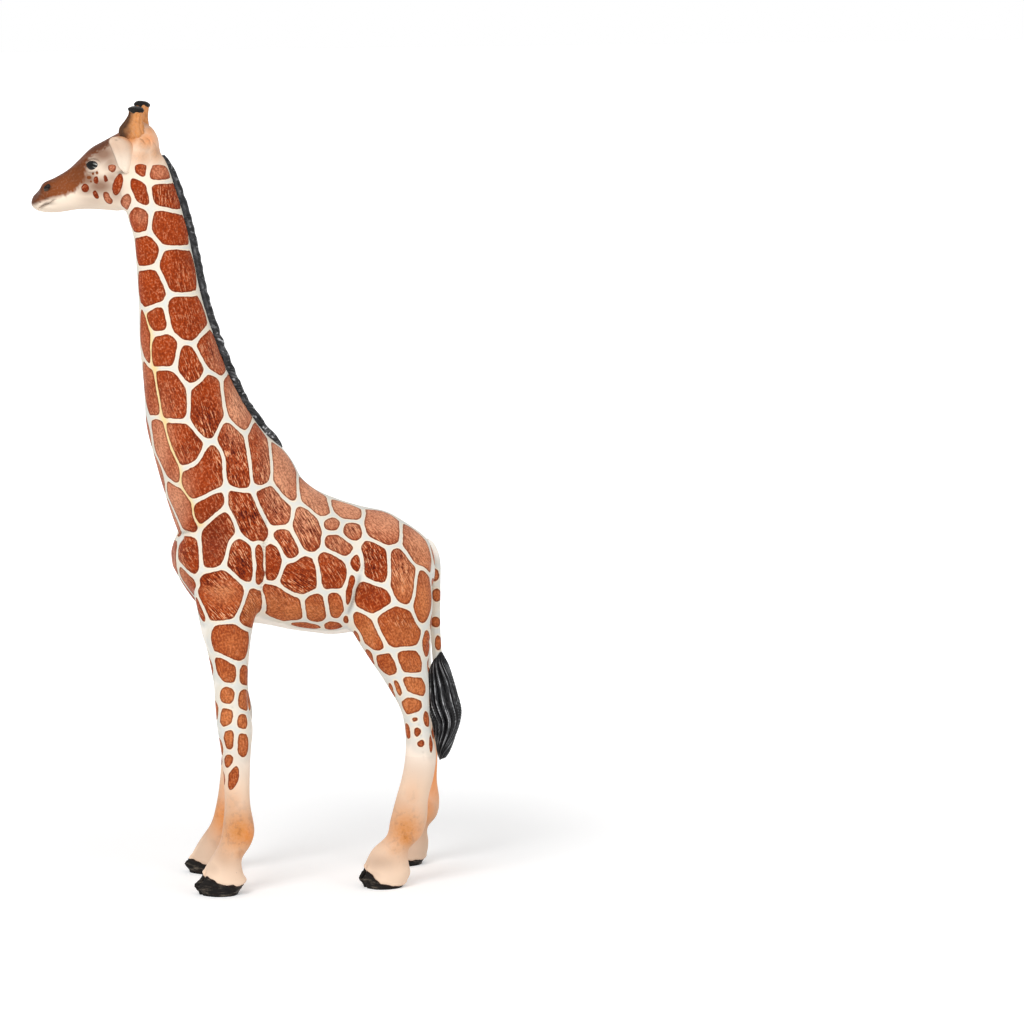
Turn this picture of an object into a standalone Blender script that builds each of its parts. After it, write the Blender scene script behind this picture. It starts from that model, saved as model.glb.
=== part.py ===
# A toy giraffe standing with its head turned a little to its right.
# The animal faces -Y, its left side is +X and the floor is at z = 0. All sizes are in metres.

import math

import bmesh
import bpy
from mathutils import Matrix, Vector

for old in list(bpy.data.objects):
    bpy.data.objects.remove(old, do_unlink=True)

# Gaps, and how far a cut runs past what it cuts
seam_gap = 0.0003
socket_gap = 0.0003
root_overlap = 0.0012
cut_reach = 0.25

# The seam on top of the legs carries all that stands above it
leg_seam_height = 0.0521
belly_rise = 0.0010

# Torso
torso_length = 0.057
torso_depth = 0.036
torso_width = 0.026
chest_y = -0.016
belly_height = leg_seam_height + belly_rise

# Pocket that cores the torso out, as shares of the torso, and the pins that line its halves up
pocket_width = 0.615 * torso_width
pocket_length = 0.509 * torso_length
pocket_depth = 0.417 * torso_depth
pin_radius = 0.0014
pin_length = 0.0035

# Neck, which rises from two thirds of the way up the torso
neck_base_depth = 0.026
neck_length = 0.070
neck_width = 0.022
neck_base_share = 0.6667
neck_base_height = belly_height + neck_base_share * torso_depth
neck_plug_radius = 0.0042
neck_plug_length = 0.006
neck_peg_radius = 0.0022
neck_peg_length = 0.0045

# Head, which sits on the neck
head_length = 0.028
head_depth = 0.018
head_width = 0.0112
head_back_share = -0.0385
head_base_share = 0.9643
head_back_y = chest_y + head_back_share * neck_base_depth
head_base_height = neck_base_height + head_base_share * neck_length
head_turn = math.radians(18)

# Horns and ears
horn_length = 0.0060
horn_root_depth = 0.0022
horn_root_radius = 0.0024
horn_tip_radius = 0.0016
horn_spacing = 0.0060
ear_length = 0.0080
ear_width = 0.0050
ear_thickness = 0.0013
ear_root_depth = 0.0018

# Mane and tail
mane_thickness = 0.0026
mane_height = 0.0012
mane_groove_depth = 0.0011
tail_radius = 0.00085
tail_length = 0.024
tail_peg_length = 0.003
tuft_length = 0.023
tuft_depth = 0.0072
tuft_width = 0.0042
tuft_side_swing = 0.0078

# Legs, whose tops reach into the torso
front_leg_rise = 0.0130
front_leg_height = leg_seam_height + front_leg_rise
front_leg_depth = 0.012
front_leg_width = 0.0108
front_leg_share = 0.158
front_leg_y = chest_y + front_leg_share * torso_length
front_foot_x = 0.0119
front_top_x = 0.0080
front_stride = 0.0033
front_peg_radius = 0.0017
hind_leg_rise = 0.0170
hind_leg_height = leg_seam_height + hind_leg_rise
hind_leg_depth = 0.018
hind_leg_width = 0.0120
hind_leg_share = 0.807
hind_leg_y = chest_y + hind_leg_share * torso_length
hind_foot_x = 0.0116
hind_top_x = 0.0074
hind_stride = 0.0088
hind_peg_radius = 0.0022
leg_peg_length = 0.0045

# Hooves
hoof_toe_height = 0.0041
hoof_heel_height = 0.0020
hoof_peg_radius = 0.0011
hoof_peg_length = 0.0013
cleft_width = 0.0008
cleft_length = 0.0030

# Each torso row: top along and up, bottom along and up, half width
torso_shares = [
    (0.01, 0.56, 0.01, 0.43, 0.23),
    (0.05, 0.69, 0.06, 0.29, 0.58),
    (0.13, 0.82, 0.12, 0.18, 0.77),
    (0.24, 0.92, 0.22, 0.11, 0.89),
    (0.34, 0.97, 0.34, 0.08, 0.94),
    (0.455, 0.985, 0.45, 0.04, 0.97),
    (0.545, 0.88, 0.53, 0.02, 1.00),
    (0.64, 0.81, 0.60, 0.005, 1.00),
    (0.74, 0.76, 0.69, 0.02, 0.97),
    (0.825, 0.725, 0.78, 0.065, 0.93),
    (0.91, 0.64, 0.86, 0.125, 0.85),
    (0.97, 0.56, 0.93, 0.18, 0.65),
    (0.995, 0.47, 0.98, 0.26, 0.35),
]

# Each neck row: front along and up, back along and up, half width
neck_shares = [
    (0.19, -0.11, 1.11, 0.03, 0.91),
    (0.05, 0.00, 1.07, 0.15, 1.00),
    (-0.055, 0.12, 0.96, 0.225, 0.95),
    (-0.125, 0.215, 0.785, 0.285, 0.86),
    (-0.19, 0.315, 0.63, 0.365, 0.76),
    (-0.21, 0.44, 0.49, 0.465, 0.66),
    (-0.24, 0.56, 0.37, 0.585, 0.57),
    (-0.245, 0.685, 0.27, 0.705, 0.51),
    (-0.26, 0.785, 0.215, 0.805, 0.47),
    (-0.28, 0.88, 0.16, 0.905, 0.44),
    (-0.34, 0.96, 0.10, 0.99, 0.42),
    (-0.385, 1.03, 0.02, 1.085, 0.38),
    (-0.365, 1.085, -0.04, 1.14, 0.30),
]

# Each head row: crown forward and up, jaw forward and up, half width
head_shares = [
    (1.00, 0.16, 1.00, 0.04, 0.32),
    (0.97, 0.225, 0.945, -0.01, 0.54),
    (0.915, 0.31, 0.85, -0.025, 0.66),
    (0.835, 0.38, 0.765, -0.015, 0.68),
    (0.73, 0.475, 0.65, 0.015, 0.66),
    (0.64, 0.60, 0.53, 0.02, 0.79),
    (0.55, 0.735, 0.42, 0.01, 0.93),
    (0.455, 0.82, 0.32, 0.005, 1.00),
    (0.345, 0.91, 0.22, 0.06, 1.00),
    (0.22, 1.00, 0.13, 0.17, 0.95),
    (0.13, 0.98, 0.055, 0.305, 0.82),
    (0.05, 0.85, 0.01, 0.47, 0.57),
]

# Each leg row: height, front, back, half width
front_leg_shares = [
    (1.00, -0.46, 0.71, 0.83),
    (0.88, -0.35, 0.61, 1.00),
    (0.79, -0.22, 0.52, 0.85),
    (0.70, -0.13, 0.48, 0.72),
    (0.62, -0.10, 0.48, 0.65),
    (0.545, -0.07, 0.56, 0.69),
    (0.485, -0.02, 0.53, 0.61),
    (0.41, 0.02, 0.50, 0.52),
    (0.30, 0.04, 0.49, 0.50),
    (0.21, -0.01, 0.56, 0.57),
    (0.16, -0.08, 0.49, 0.59),
    (0.115, -0.23, 0.33, 0.63),
    (0.075, -0.35, 0.33, 0.67),
    (0.015, -0.41, 0.31, 0.69),
]
hind_leg_shares = [
    (1.00, -0.33, 0.47, 0.83),
    (0.885, -0.53, 0.47, 1.00),
    (0.80, -0.48, 0.44, 0.93),
    (0.715, -0.28, 0.43, 0.80),
    (0.63, -0.07, 0.43, 0.68),
    (0.555, 0.09, 0.44, 0.58),
    (0.485, 0.155, 0.46, 0.53),
    (0.41, 0.155, 0.52, 0.53),
    (0.34, 0.11, 0.49, 0.50),
    (0.27, 0.03, 0.42, 0.45),
    (0.205, -0.04, 0.40, 0.50),
    (0.155, -0.09, 0.33, 0.52),
    (0.115, -0.26, 0.18, 0.55),
    (0.07, -0.36, 0.16, 0.58),
    (0.015, -0.38, 0.13, 0.60),
]

# Each stride row: height, how much of the stride the right leg lies behind the left
front_stride_shares = [(0.0, 0.48), (0.12, 0.50), (0.30, 0.70), (0.42, 0.94), (0.80, 1.0), (1.0, 0.6)]
hind_stride_shares = [
    (0.0, 1.0), (0.11, 0.96), (0.16, 0.87), (0.27, 0.69), (0.34, 0.55), (0.41, 0.48),
    (0.63, 0.48), (0.72, 0.45), (0.80, 0.34), (0.89, 0.17), (1.0, 0.0),
]

# Each hoof row: height in toe heights, front, back, half width
front_hoof_shares = [
    (0.0, -0.46, 0.28, 0.64), (0.14, -0.51, 0.33, 0.72), (0.65, -0.47, 0.36, 0.75), (1.5, -0.34, 0.36, 0.72),
]
hind_hoof_shares = [
    (0.0, -0.40, 0.10, 0.58), (0.14, -0.44, 0.13, 0.64), (0.65, -0.42, 0.16, 0.67), (1.5, -0.33, 0.17, 0.64),
]

# Each mane row: how far up the neck its back is followed, and how tall the mane stands.
# The mane leans with the neck's back between two points this share of the neck away.
mane_slope_share = 0.02
mane_shares = [
    (0.24, 0.25), (0.30, 0.85), (0.42, 1.0), (0.60, 1.0), (0.80, 1.0), (0.97, 1.0), (1.07, 0.8), (1.13, 0.3),
]

# Seams and places, as shares of the torso, the neck or the head they lie on
neck_seam_front_shares = (0.035, -0.01)
neck_seam_back_shares = (1.02, 0.19)
head_seam_front_shares = (-0.36, 0.965)
head_seam_back_shares = (0.03, 1.10)
pocket_shares = (0.56, 0.42)
pin_place_shares = [(0.14, 0.42), (0.30, 0.22), (0.86, 0.36)]
neck_plug_share = 0.5
horn_place_shares = (0.197, 0.955)
horn_lean_shares = (0.10, 1.0)
horn_waist_share = 0.40
ear_place_shares = (0.23, 0.54)
ear_side_share = 0.80
ear_axis_shares = (0.45, -0.40, 0.80)
ear_cross_shares = (-0.265, 0.80, 0.55)
ear_edge_share = 0.35
tail_root_shares = (0.985, 0.50)

# Each knob row: below the tip, radius, both in tip radii
horn_knob_shares = [(1.9, 0.84), (1.4, 0.95), (0.9, 1.0), (0.35, 0.8), (0.0, 0.35)]

# Each ear row: along, half width. Each tuft row: down, forward edge, rear edge, half thickness
ear_shares = [(0.0, 0.42), (0.15, 0.72), (0.35, 0.98), (0.55, 1.0), (0.75, 0.80), (0.92, 0.45), (1.0, 0.12)]
tuft_shares = [
    (0.0, -0.16, 0.18, 0.45), (0.12, -0.34, 0.34, 0.78), (0.32, -0.46, 0.50, 1.0), (0.52, -0.46, 0.60, 1.0),
    (0.72, -0.32, 0.52, 0.85), (0.88, -0.16, 0.34, 0.55), (1.0, 0.0, 0.10, 0.12),
]

# Each tail row: down, behind the root in tail radii, sideways as a share of the tuft's swing
tail_shares = [(0.0, 0.3, 0.0), (0.12, 1.5, 0.0), (0.35, 1.5, 0.08), (0.7, 0.9, 0.35), (1.0, 0.9, 0.62)]

# How finely the pieces are faceted, and the edge angle up to which they are shaded smooth
ring_sides = 20
leg_sides = 16
small_sides = 12
tail_sides = 10
row_steps = 2
small_row_steps = 3
smooth_angle = math.radians(40)


def smooth_rows(rows, steps):
    """Rows on a smooth curve through the given rows."""
    smooth = []
    for index in range(len(rows) - 1):
        before = rows[max(index - 1, 0)]
        start = rows[index]
        end = rows[index + 1]
        after = rows[min(index + 2, len(rows) - 1)]
        for step in range(steps):
            t = step / steps
            row = []
            for a, b, c, d in zip(before, start, end, after):
                bend = (2 * a - 5 * b + 4 * c - d) * t + (3 * b - a - 3 * c + d) * t * t
                row.append(b + 0.5 * t * ((c - a) + bend))
            smooth.append(tuple(row))
    smooth.append(tuple(rows[-1]))
    return smooth


def row_at(rows, place):
    """The row of values at a place, straight between neighbouring rows."""
    ordered = sorted(rows)
    place = min(max(place, ordered[0][0]), ordered[-1][0])
    for low, high in zip(ordered, ordered[1:]):
        if place <= high[0]:
            share = (place - low[0]) / (high[0] - low[0])
            return [a + share * (b - a) for a, b in zip(low, high)]
    return list(ordered[-1])


def add_object(name, shape):
    """A scene object made from a finished bmesh."""
    bmesh.ops.recalc_face_normals(shape, faces=shape.faces)
    mesh = bpy.data.meshes.new(name)
    shape.to_mesh(mesh)
    shape.free()
    made = bpy.data.objects.new(name, mesh)
    bpy.context.scene.collection.objects.link(made)
    return made


def loft(name, rings, sides):
    """A closed solid through oval rings, each a centre and two half axes."""
    shape = bmesh.new()
    loops = []
    for centre, first_axis, second_axis in rings:
        loop = []
        for side in range(sides):
            angle = 2 * math.pi * side / sides
            place = centre + first_axis * math.cos(angle) + second_axis * math.sin(angle)
            loop.append(shape.verts.new(place))
        loops.append(loop)
    for low, high in zip(loops, loops[1:]):
        for side in range(sides):
            following = (side + 1) % sides
            shape.faces.new((low[side], low[following], high[following], high[side]))
    shape.faces.new(list(reversed(loops[0])))
    shape.faces.new(loops[-1])
    return add_object(name, shape)


def oval_rings(rows, grow=0.0):
    """Rings from rows of x, y and z of two opposite points and a half width, grown outwards."""
    rings = []
    for x, first_y, first_z, second_y, second_z, half_width in rows:
        first = Vector((x, first_y, first_z))
        second = Vector((x, second_y, second_z))
        reach = (first - second) / 2
        reach += reach.normalized() * grow
        rings.append(((first + second) / 2, reach, Vector((half_width + grow, 0, 0))))
    return rings


def rod(name, start, end, radius, end_radius=None):
    """A round peg or cutter between two points."""
    shape = bmesh.new()
    span = end - start
    place = Matrix.Translation((start + end) / 2) @ span.to_track_quat("Z", "Y").to_matrix().to_4x4()
    bmesh.ops.create_cone(
        shape, cap_ends=True, segments=ring_sides, radius1=radius,
        radius2=radius if end_radius is None else end_radius, depth=span.length, matrix=place,
    )
    return add_object(name, shape)


def half_space(point, normal):
    """A large block that fills the side of a plane that its normal points to."""
    shape = bmesh.new()
    place = Matrix.Translation(point + normal * cut_reach)
    turn = normal.to_track_quat("Z", "Y").to_matrix().to_4x4()
    bmesh.ops.create_cube(shape, size=2 * cut_reach, matrix=place @ turn)
    return add_object("half_space", shape)


def combine(body, tool, operation):
    """The Boolean of two objects, written back to the first."""
    change = body.modifiers.new("change", "BOOLEAN")
    change.operation = operation
    change.solver = "EXACT"
    change.object = tool
    bpy.context.view_layer.update()
    evaluated = body.evaluated_get(bpy.context.evaluated_depsgraph_get())
    mesh = bpy.data.meshes.new_from_object(evaluated)
    body.modifiers.clear()
    body.data = mesh
    bpy.data.objects.remove(tool, do_unlink=True)
    return body


def copy_of(body, name):
    """A separate object with its own copy of a mesh."""
    made = bpy.data.objects.new(name, body.data.copy())
    bpy.context.scene.collection.objects.link(made)
    return made


def cut_away(body, point, normal):
    """Removes what lies on the side of a plane that its normal points to."""
    normal = normal.normalized()
    return combine(body, half_space(point, normal), "DIFFERENCE")


def add_material(name, colour, roughness):
    """A painted vinyl in one plain colour."""
    material = bpy.data.materials.new(name)
    material.use_nodes = True
    surface = material.node_tree.nodes["Principled BSDF"]
    surface.inputs["Base Color"].default_value = (*colour, 1.0)
    surface.inputs["Roughness"].default_value = roughness
    surface.inputs["Metallic"].default_value = 0.0
    return material


def torso_place(along, up):
    """A point on the midline, given as shares of the torso."""
    return Vector((0, chest_y + along * torso_length, belly_height + up * torso_depth))


def neck_place(along, up):
    """A point on the midline, given as shares of the neck."""
    return Vector((0, chest_y + along * neck_base_depth, neck_base_height + up * neck_length))


def head_place(forward, up, side=0.0):
    """A point in the head before it is turned, given as shares of the head."""
    y = head_back_y - forward * head_length
    z = head_base_height + up * head_depth
    return Vector((side * head_width / 2, y, z))


def turned(point):
    """A head point after the head turns about the top of the neck."""
    pivot = neck_place(0, 1)
    pivot.y = head_back_y
    return pivot + Matrix.Rotation(-head_turn, 3, "Z") @ (point - pivot)


def turned_direction(direction):
    """A head direction after the head turns."""
    return Matrix.Rotation(-head_turn, 3, "Z") @ direction


def torso_loft():
    rows = []
    for top_along, top_up, bottom_along, bottom_up, wide in smooth_rows(torso_shares, row_steps):
        top = torso_place(top_along, top_up)
        bottom = torso_place(bottom_along, bottom_up)
        rows.append((0, top.y, top.z, bottom.y, bottom.z, wide * torso_width / 2))
    return loft("torso", oval_rings(rows), ring_sides)


def torso_pocket():
    """The egg-shaped hollow inside the torso."""
    shape = bmesh.new()
    size = Matrix.Diagonal((pocket_width / 2, pocket_length / 2, pocket_depth / 2, 1.0))
    bmesh.ops.create_uvsphere(
        shape, u_segments=ring_sides, v_segments=small_sides, radius=1.0,
        matrix=Matrix.Translation(torso_place(*pocket_shares)) @ size,
    )
    return add_object("pocket", shape)


def neck_loft():
    rows = []
    for front_along, front_up, back_along, back_up, wide in smooth_rows(neck_shares, row_steps):
        front = neck_place(front_along, front_up)
        back = neck_place(back_along, back_up)
        rows.append((0, front.y, front.z, back.y, back.z, wide * neck_width / 2))
    return loft("neck", oval_rings(rows), ring_sides)


def head_loft():
    rings = []
    for crown_forward, crown_up, jaw_forward, jaw_up, wide in smooth_rows(head_shares, row_steps):
        crown = turned(head_place(crown_forward, crown_up))
        jaw = turned(head_place(jaw_forward, jaw_up))
        side = turned_direction(Vector((wide * head_width / 2, 0, 0)))
        rings.append(((crown + jaw) / 2, (crown - jaw) / 2, side))
    return loft("head", rings, ring_sides)


def mane_loft(name, grow):
    """The mane follows the back of the neck, part of it in the neck's groove."""
    back_line = [(back_up, back_along) for _, _, back_along, back_up, _ in neck_shares]
    rows = smooth_rows(mane_shares, small_row_steps)
    rings = []
    for index, (up, tall) in enumerate(rows):
        here = neck_place(row_at(back_line, up)[1], up)
        low_up = up - mane_slope_share
        high_up = up + mane_slope_share
        below = neck_place(row_at(back_line, low_up)[1], low_up)
        above = neck_place(row_at(back_line, high_up)[1], high_up)
        along = (above - below).normalized()
        outward = Vector((0, along.z, -along.y))
        crest = here + outward * (tall * mane_height + grow)
        foot = here - outward * (mane_groove_depth + grow)
        if index == 0:
            crest -= along * grow
            foot -= along * grow
        if index == len(rows) - 1:
            crest += along * grow
            foot += along * grow
        side = Vector((mane_thickness / 2 + grow, 0, 0))
        rings.append(((crest + foot) / 2, (crest - foot) / 2, side))
    return loft(name, rings, small_sides)


def leg_rows(leg, side, rows):
    """Rows of one leg: its stance splays outwards, and the right leg lies behind the left."""
    made = []
    for up, front, back, wide in rows:
        behind = 0.0
        if side < 0:
            behind = leg["stride"] * row_at(leg["stride_shares"], up)[1]
        x = side * (leg["foot_x"] + (leg["top_x"] - leg["foot_x"]) * min(up, 1.0))
        y = leg["y"] + behind
        z = up * leg["height"]
        made.append((x, y + front * leg["depth"], z, y + back * leg["depth"], z, wide * leg["width"] / 2))
    return made


def hoof_plane(leg, side):
    """The sloping seam on top of a hoof: its upward normal and its middle point."""
    rows = leg_rows(leg, side, [(0.0, *leg["hoof_shares"][1][1:])])
    x, toe_y, _, heel_y, _, _ = rows[0]
    toe = Vector((x, toe_y, hoof_toe_height))
    heel = Vector((x, heel_y, hoof_heel_height))
    slope = heel - toe
    return Vector((0, -slope.z, slope.y)).normalized(), (toe + heel) / 2


def leg_loft(leg, side, grow=0.0):
    rows = leg_rows(leg, side, smooth_rows(leg["shares"], row_steps))
    return loft(leg["name"], oval_rings(rows, grow), leg_sides)


def leg_peg_place(leg, side):
    """Where the peg on top of a leg crosses the leg seam."""
    up = leg_seam_height / leg["height"]
    row = row_at(leg["shares"], up)
    x, front_y, z, back_y, _, _ = leg_rows(leg, side, [row])[0]
    return Vector((x, (front_y + back_y) / 2, z))


def make_leg(leg, side, name):
    """A leg below the leg seam, with a peg up into the torso and one down into its hoof."""
    made = leg_loft(leg, side)
    made.name = name
    seat = leg_peg_place(leg, side)
    cut_away(made, seat - Vector((0, 0, seam_gap)), Vector((0, 0, 1)))
    up, middle = hoof_plane(leg, side)
    cut_away(made, middle + up * seam_gap, -up)
    top = seat + Vector((0, 0, leg_peg_length))
    combine(made, rod("peg", seat - Vector((0, 0, root_overlap + seam_gap)), top, leg["peg_radius"]), "UNION")
    low = middle - up * hoof_peg_length
    combine(made, rod("peg", low, middle + up * (root_overlap + seam_gap), hoof_peg_radius), "UNION")
    return made


def make_hoof(leg, side, name):
    """A hoof with a flat sole, a cleft toe and a socket for the leg's peg."""
    rows = []
    for toe_heights, front, back, wide in leg["hoof_shares"]:
        row = list(leg_rows(leg, side, [(0.0, front, back, wide)])[0])
        row[2] = toe_heights * hoof_toe_height
        row[4] = toe_heights * hoof_toe_height
        rows.append(tuple(row))
    made = loft(name, oval_rings(smooth_rows(rows, row_steps)), leg_sides)
    up, middle = hoof_plane(leg, side)
    cut_away(made, middle, up)
    low = middle - up * (hoof_peg_length + socket_gap)
    combine(made, rod("socket", low, middle + up * root_overlap, hoof_peg_radius + socket_gap), "DIFFERENCE")
    x, toe_y = rows[1][0], rows[1][1]
    shape = bmesh.new()
    size = Matrix.Diagonal((cleft_width, 2 * cleft_length, 3 * hoof_toe_height, 1.0))
    bmesh.ops.create_cube(shape, size=1.0, matrix=Matrix.Translation((x, toe_y, 0)) @ size)
    combine(made, add_object("cleft", shape), "DIFFERENCE")
    return made


def horn_line(side):
    """The root, the tip and the direction of a horn on the turned head."""
    foot = head_place(*horn_place_shares)
    foot.x = side * horn_spacing / 2
    lean = Vector((side * horn_lean_shares[0], horn_lean_shares[0], horn_lean_shares[1])).normalized()
    return turned(foot), turned_direction(lean)


def horn_loft(side, name, grow):
    """A horn that narrows a little and ends in a round knob."""
    foot, up = horn_line(side)
    across = up.cross(Vector((0, 1, 0))).normalized()
    other = up.cross(across)
    profile = [
        (-horn_root_depth - grow, horn_root_radius),
        (0.0, horn_root_radius),
        (horn_waist_share * horn_length, horn_knob_shares[0][1] * horn_tip_radius),
    ]
    for below, wide in horn_knob_shares:
        profile.append((horn_length - below * horn_tip_radius, wide * horn_tip_radius))
    rings = []
    for along, radius in profile:
        rings.append((foot + up * along, across * (radius + grow), other * (radius + grow)))
    return loft(name, rings, small_sides)


def ear_loft(side, name, grow):
    """A cupped leaf that grows out of the side of the head."""
    axis = Vector(ear_axis_shares).normalized()
    cross = Vector(ear_cross_shares).normalized()
    axis.x *= side
    cross.x *= side
    face = axis.cross(cross).normalized()
    root = head_place(*ear_place_shares, side * ear_side_share)
    rings = []
    start = -ear_root_depth / ear_length
    rows = [(start - grow / ear_length, ear_shares[0][1])] + smooth_rows(ear_shares, row_steps)
    for along, wide in rows:
        centre = root + axis * along * ear_length
        half = wide * ear_width / 2 + grow
        thick = (ear_edge_share + (1 - ear_edge_share) * min(wide, 1.0)) * ear_thickness / 2 + grow
        rings.append((turned(centre), turned_direction(cross) * half, turned_direction(face) * thick))
    return loft(name, rings, small_sides)


def tail_points():
    """The tail's centre line, from its root on the rump to the tuft."""
    root = torso_place(*tail_root_shares)
    points = []
    for down, behind, sideways in smooth_rows(tail_shares, small_row_steps):
        points.append(Vector((
            sideways * tuft_side_swing, root.y + behind * tail_radius, root.z - down * tail_length,
        )))
    return points


def tail_loft(name, grow):
    """A round stem with a peg into the rump and its lower end inside the tuft."""
    points = tail_points()
    rings = []
    for index, point in enumerate(points):
        ahead = points[min(index + 1, len(points) - 1)] - points[max(index - 1, 0)]
        across = ahead.cross(Vector((1, 0, 0))).normalized() * (tail_radius + grow)
        other = ahead.cross(across).normalized() * (tail_radius + grow)
        rings.append((point, across, other))
    return loft(name, rings, tail_sides)


def tail_peg(grow):
    """The peg that holds the tail in the rump."""
    start = tail_points()[0]
    end = start - Vector((0, tail_peg_length + grow, 0))
    return rod("peg", start, end, tail_radius + grow)


def make_tuft(name):
    """The tuft hangs from the end of the tail, against the back of the left hind leg."""
    top = tail_points()[-1]
    rows = []
    for down, front, back, thick in smooth_rows(tuft_shares, row_steps):
        x = top.x + (tuft_side_swing - top.x) * min(2 * down, 1.0)
        z = top.z + tail_peg_length - down * tuft_length
        rows.append((x, top.y + front * tuft_depth, z, top.y + back * tuft_depth, z, thick * tuft_width / 2))
    made = loft(name, oval_rings(rows), small_sides)
    combine(made, leg_loft(hind_leg, 1, seam_gap), "DIFFERENCE")
    return combine(made, tail_loft("socket", socket_gap), "DIFFERENCE")


front_leg = {
    "name": "front", "shares": front_leg_shares, "height": front_leg_height, "depth": front_leg_depth,
    "width": front_leg_width, "y": front_leg_y, "foot_x": front_foot_x, "top_x": front_top_x,
    "stride": front_stride, "stride_shares": front_stride_shares, "peg_radius": front_peg_radius,
    "hoof_shares": front_hoof_shares,
}
hind_leg = {
    "name": "hind", "shares": hind_leg_shares, "height": hind_leg_height, "depth": hind_leg_depth,
    "width": hind_leg_width, "y": hind_leg_y, "foot_x": hind_foot_x, "top_x": hind_top_x,
    "stride": hind_stride, "stride_shares": hind_stride_shares, "peg_radius": hind_peg_radius,
    "hoof_shares": hind_hoof_shares,
}
sides = {"left": 1, "right": -1}

# The seams of the neck, as a point and an upward normal each
neck_seam_front = neck_place(*neck_seam_front_shares)
neck_seam_back = neck_place(*neck_seam_back_shares)
neck_seam_line = (neck_seam_back - neck_seam_front).normalized()
neck_seam_up = Vector((0, -neck_seam_line.z, neck_seam_line.y))
neck_seam_middle = neck_seam_front.lerp(neck_seam_back, neck_plug_share)
head_seam_front = neck_place(*head_seam_front_shares)
head_seam_back = neck_place(*head_seam_back_shares)
head_seam_line = (head_seam_back - head_seam_front).normalized()
head_seam_up = Vector((0, -head_seam_line.z, head_seam_line.y))
head_seam_middle = (head_seam_front + head_seam_back) / 2

# The whole body, before it is cut into its mouldings
trunk = torso_loft()
combine(trunk, neck_loft(), "UNION")
neck = copy_of(trunk, "neck_piece")
for leg in (front_leg, hind_leg):
    for side in sides.values():
        combine(trunk, leg_loft(leg, side), "UNION")

# Torso: below the neck seam and above the leg seam, with a socket for every peg
cut_away(trunk, neck_seam_middle, neck_seam_up)
cut_away(trunk, Vector((0, 0, leg_seam_height)), Vector((0, 0, -1)))
plug_end = neck_seam_middle - neck_seam_up * (neck_plug_length + socket_gap)
plug_start = neck_seam_middle + neck_seam_up * root_overlap
combine(trunk, rod("socket", plug_start, plug_end, neck_plug_radius + socket_gap), "DIFFERENCE")
for leg in (front_leg, hind_leg):
    for side in sides.values():
        seat = leg_peg_place(leg, side)
        roof = seat + Vector((0, 0, leg_peg_length + socket_gap))
        hole = rod("socket", seat - Vector((0, 0, root_overlap)), roof, leg["peg_radius"] + socket_gap)
        combine(trunk, hole, "DIFFERENCE")
combine(trunk, tail_peg(socket_gap), "DIFFERENCE")
combine(trunk, tail_loft("socket", socket_gap), "DIFFERENCE")
torso_left = copy_of(trunk, "torso_left_shell")
torso_right = copy_of(trunk, "torso_right_shell")
bpy.data.objects.remove(trunk, do_unlink=True)
cut_away(torso_left, Vector((seam_gap / 2, 0, 0)), Vector((-1, 0, 0)))
cut_away(torso_right, Vector((-seam_gap / 2, 0, 0)), Vector((1, 0, 0)))
combine(torso_left, torso_pocket(), "DIFFERENCE")
combine(torso_right, torso_pocket(), "DIFFERENCE")
for along, up in pin_place_shares:
    start = torso_place(along, up) - Vector((root_overlap, 0, 0))
    end = torso_place(along, up) + Vector((pin_length, 0, 0))
    hole = end + Vector((socket_gap, 0, 0))
    combine(torso_right, rod("pin", start, end, pin_radius), "UNION")
    combine(torso_left, rod("socket", start, hole, pin_radius + socket_gap), "DIFFERENCE")

# Neck: between its two seams, with a plug below, a peg above and a groove for the mane
neck.name = "neck"
cut_away(neck, neck_seam_middle + neck_seam_up * seam_gap, -neck_seam_up)
cut_away(neck, head_seam_middle, head_seam_up)
combine(neck, mane_loft("groove", socket_gap), "DIFFERENCE")
plug_end = neck_seam_middle - neck_seam_up * neck_plug_length
plug_start = neck_seam_middle + neck_seam_up * (seam_gap + root_overlap)
combine(neck, rod("plug", plug_start, plug_end, neck_plug_radius), "UNION")
peg_end = head_seam_middle + head_seam_up * (neck_peg_length + seam_gap)
combine(neck, rod("peg", head_seam_middle - head_seam_up * root_overlap, peg_end, neck_peg_radius), "UNION")
for side in sides.values():
    combine(neck, ear_loft(side, "socket", socket_gap), "DIFFERENCE")
mane = mane_loft("mane", 0.0)

# Head: above the upper seam, with sockets for the neck's peg, the horns and the ears
head = head_loft()
upper_neck = neck_loft()
combine(head, upper_neck, "UNION")
cut_away(head, head_seam_middle + head_seam_up * seam_gap, -head_seam_up)
hole_start = head_seam_middle - head_seam_up * root_overlap
hole_end = head_seam_middle + head_seam_up * (neck_peg_length + seam_gap + socket_gap)
combine(head, rod("socket", hole_start, hole_end, neck_peg_radius + socket_gap), "DIFFERENCE")
combine(head, mane_loft("groove", socket_gap), "DIFFERENCE")
horns = []
ears = []
for side_name, side in sides.items():
    combine(head, horn_loft(side, "socket", socket_gap), "DIFFERENCE")
    combine(head, ear_loft(side, "socket", socket_gap), "DIFFERENCE")
    horns.append(horn_loft(side, "horn_" + side_name, 0.0))
    ears.append(ear_loft(side, "ear_" + side_name, 0.0))

# Tail
tail = tail_loft("tail", 0.0)
combine(tail, tail_peg(0.0), "UNION")
tuft = make_tuft("tail_tuft")

# Legs and hooves
legs = []
hooves = []
for leg in (front_leg, hind_leg):
    for side_name, side in sides.items():
        legs.append(make_leg(leg, side, "leg_" + leg["name"] + "_" + side_name))
        hooves.append(make_hoof(leg, side, "hoof_" + leg["name"] + "_" + side_name))

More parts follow.
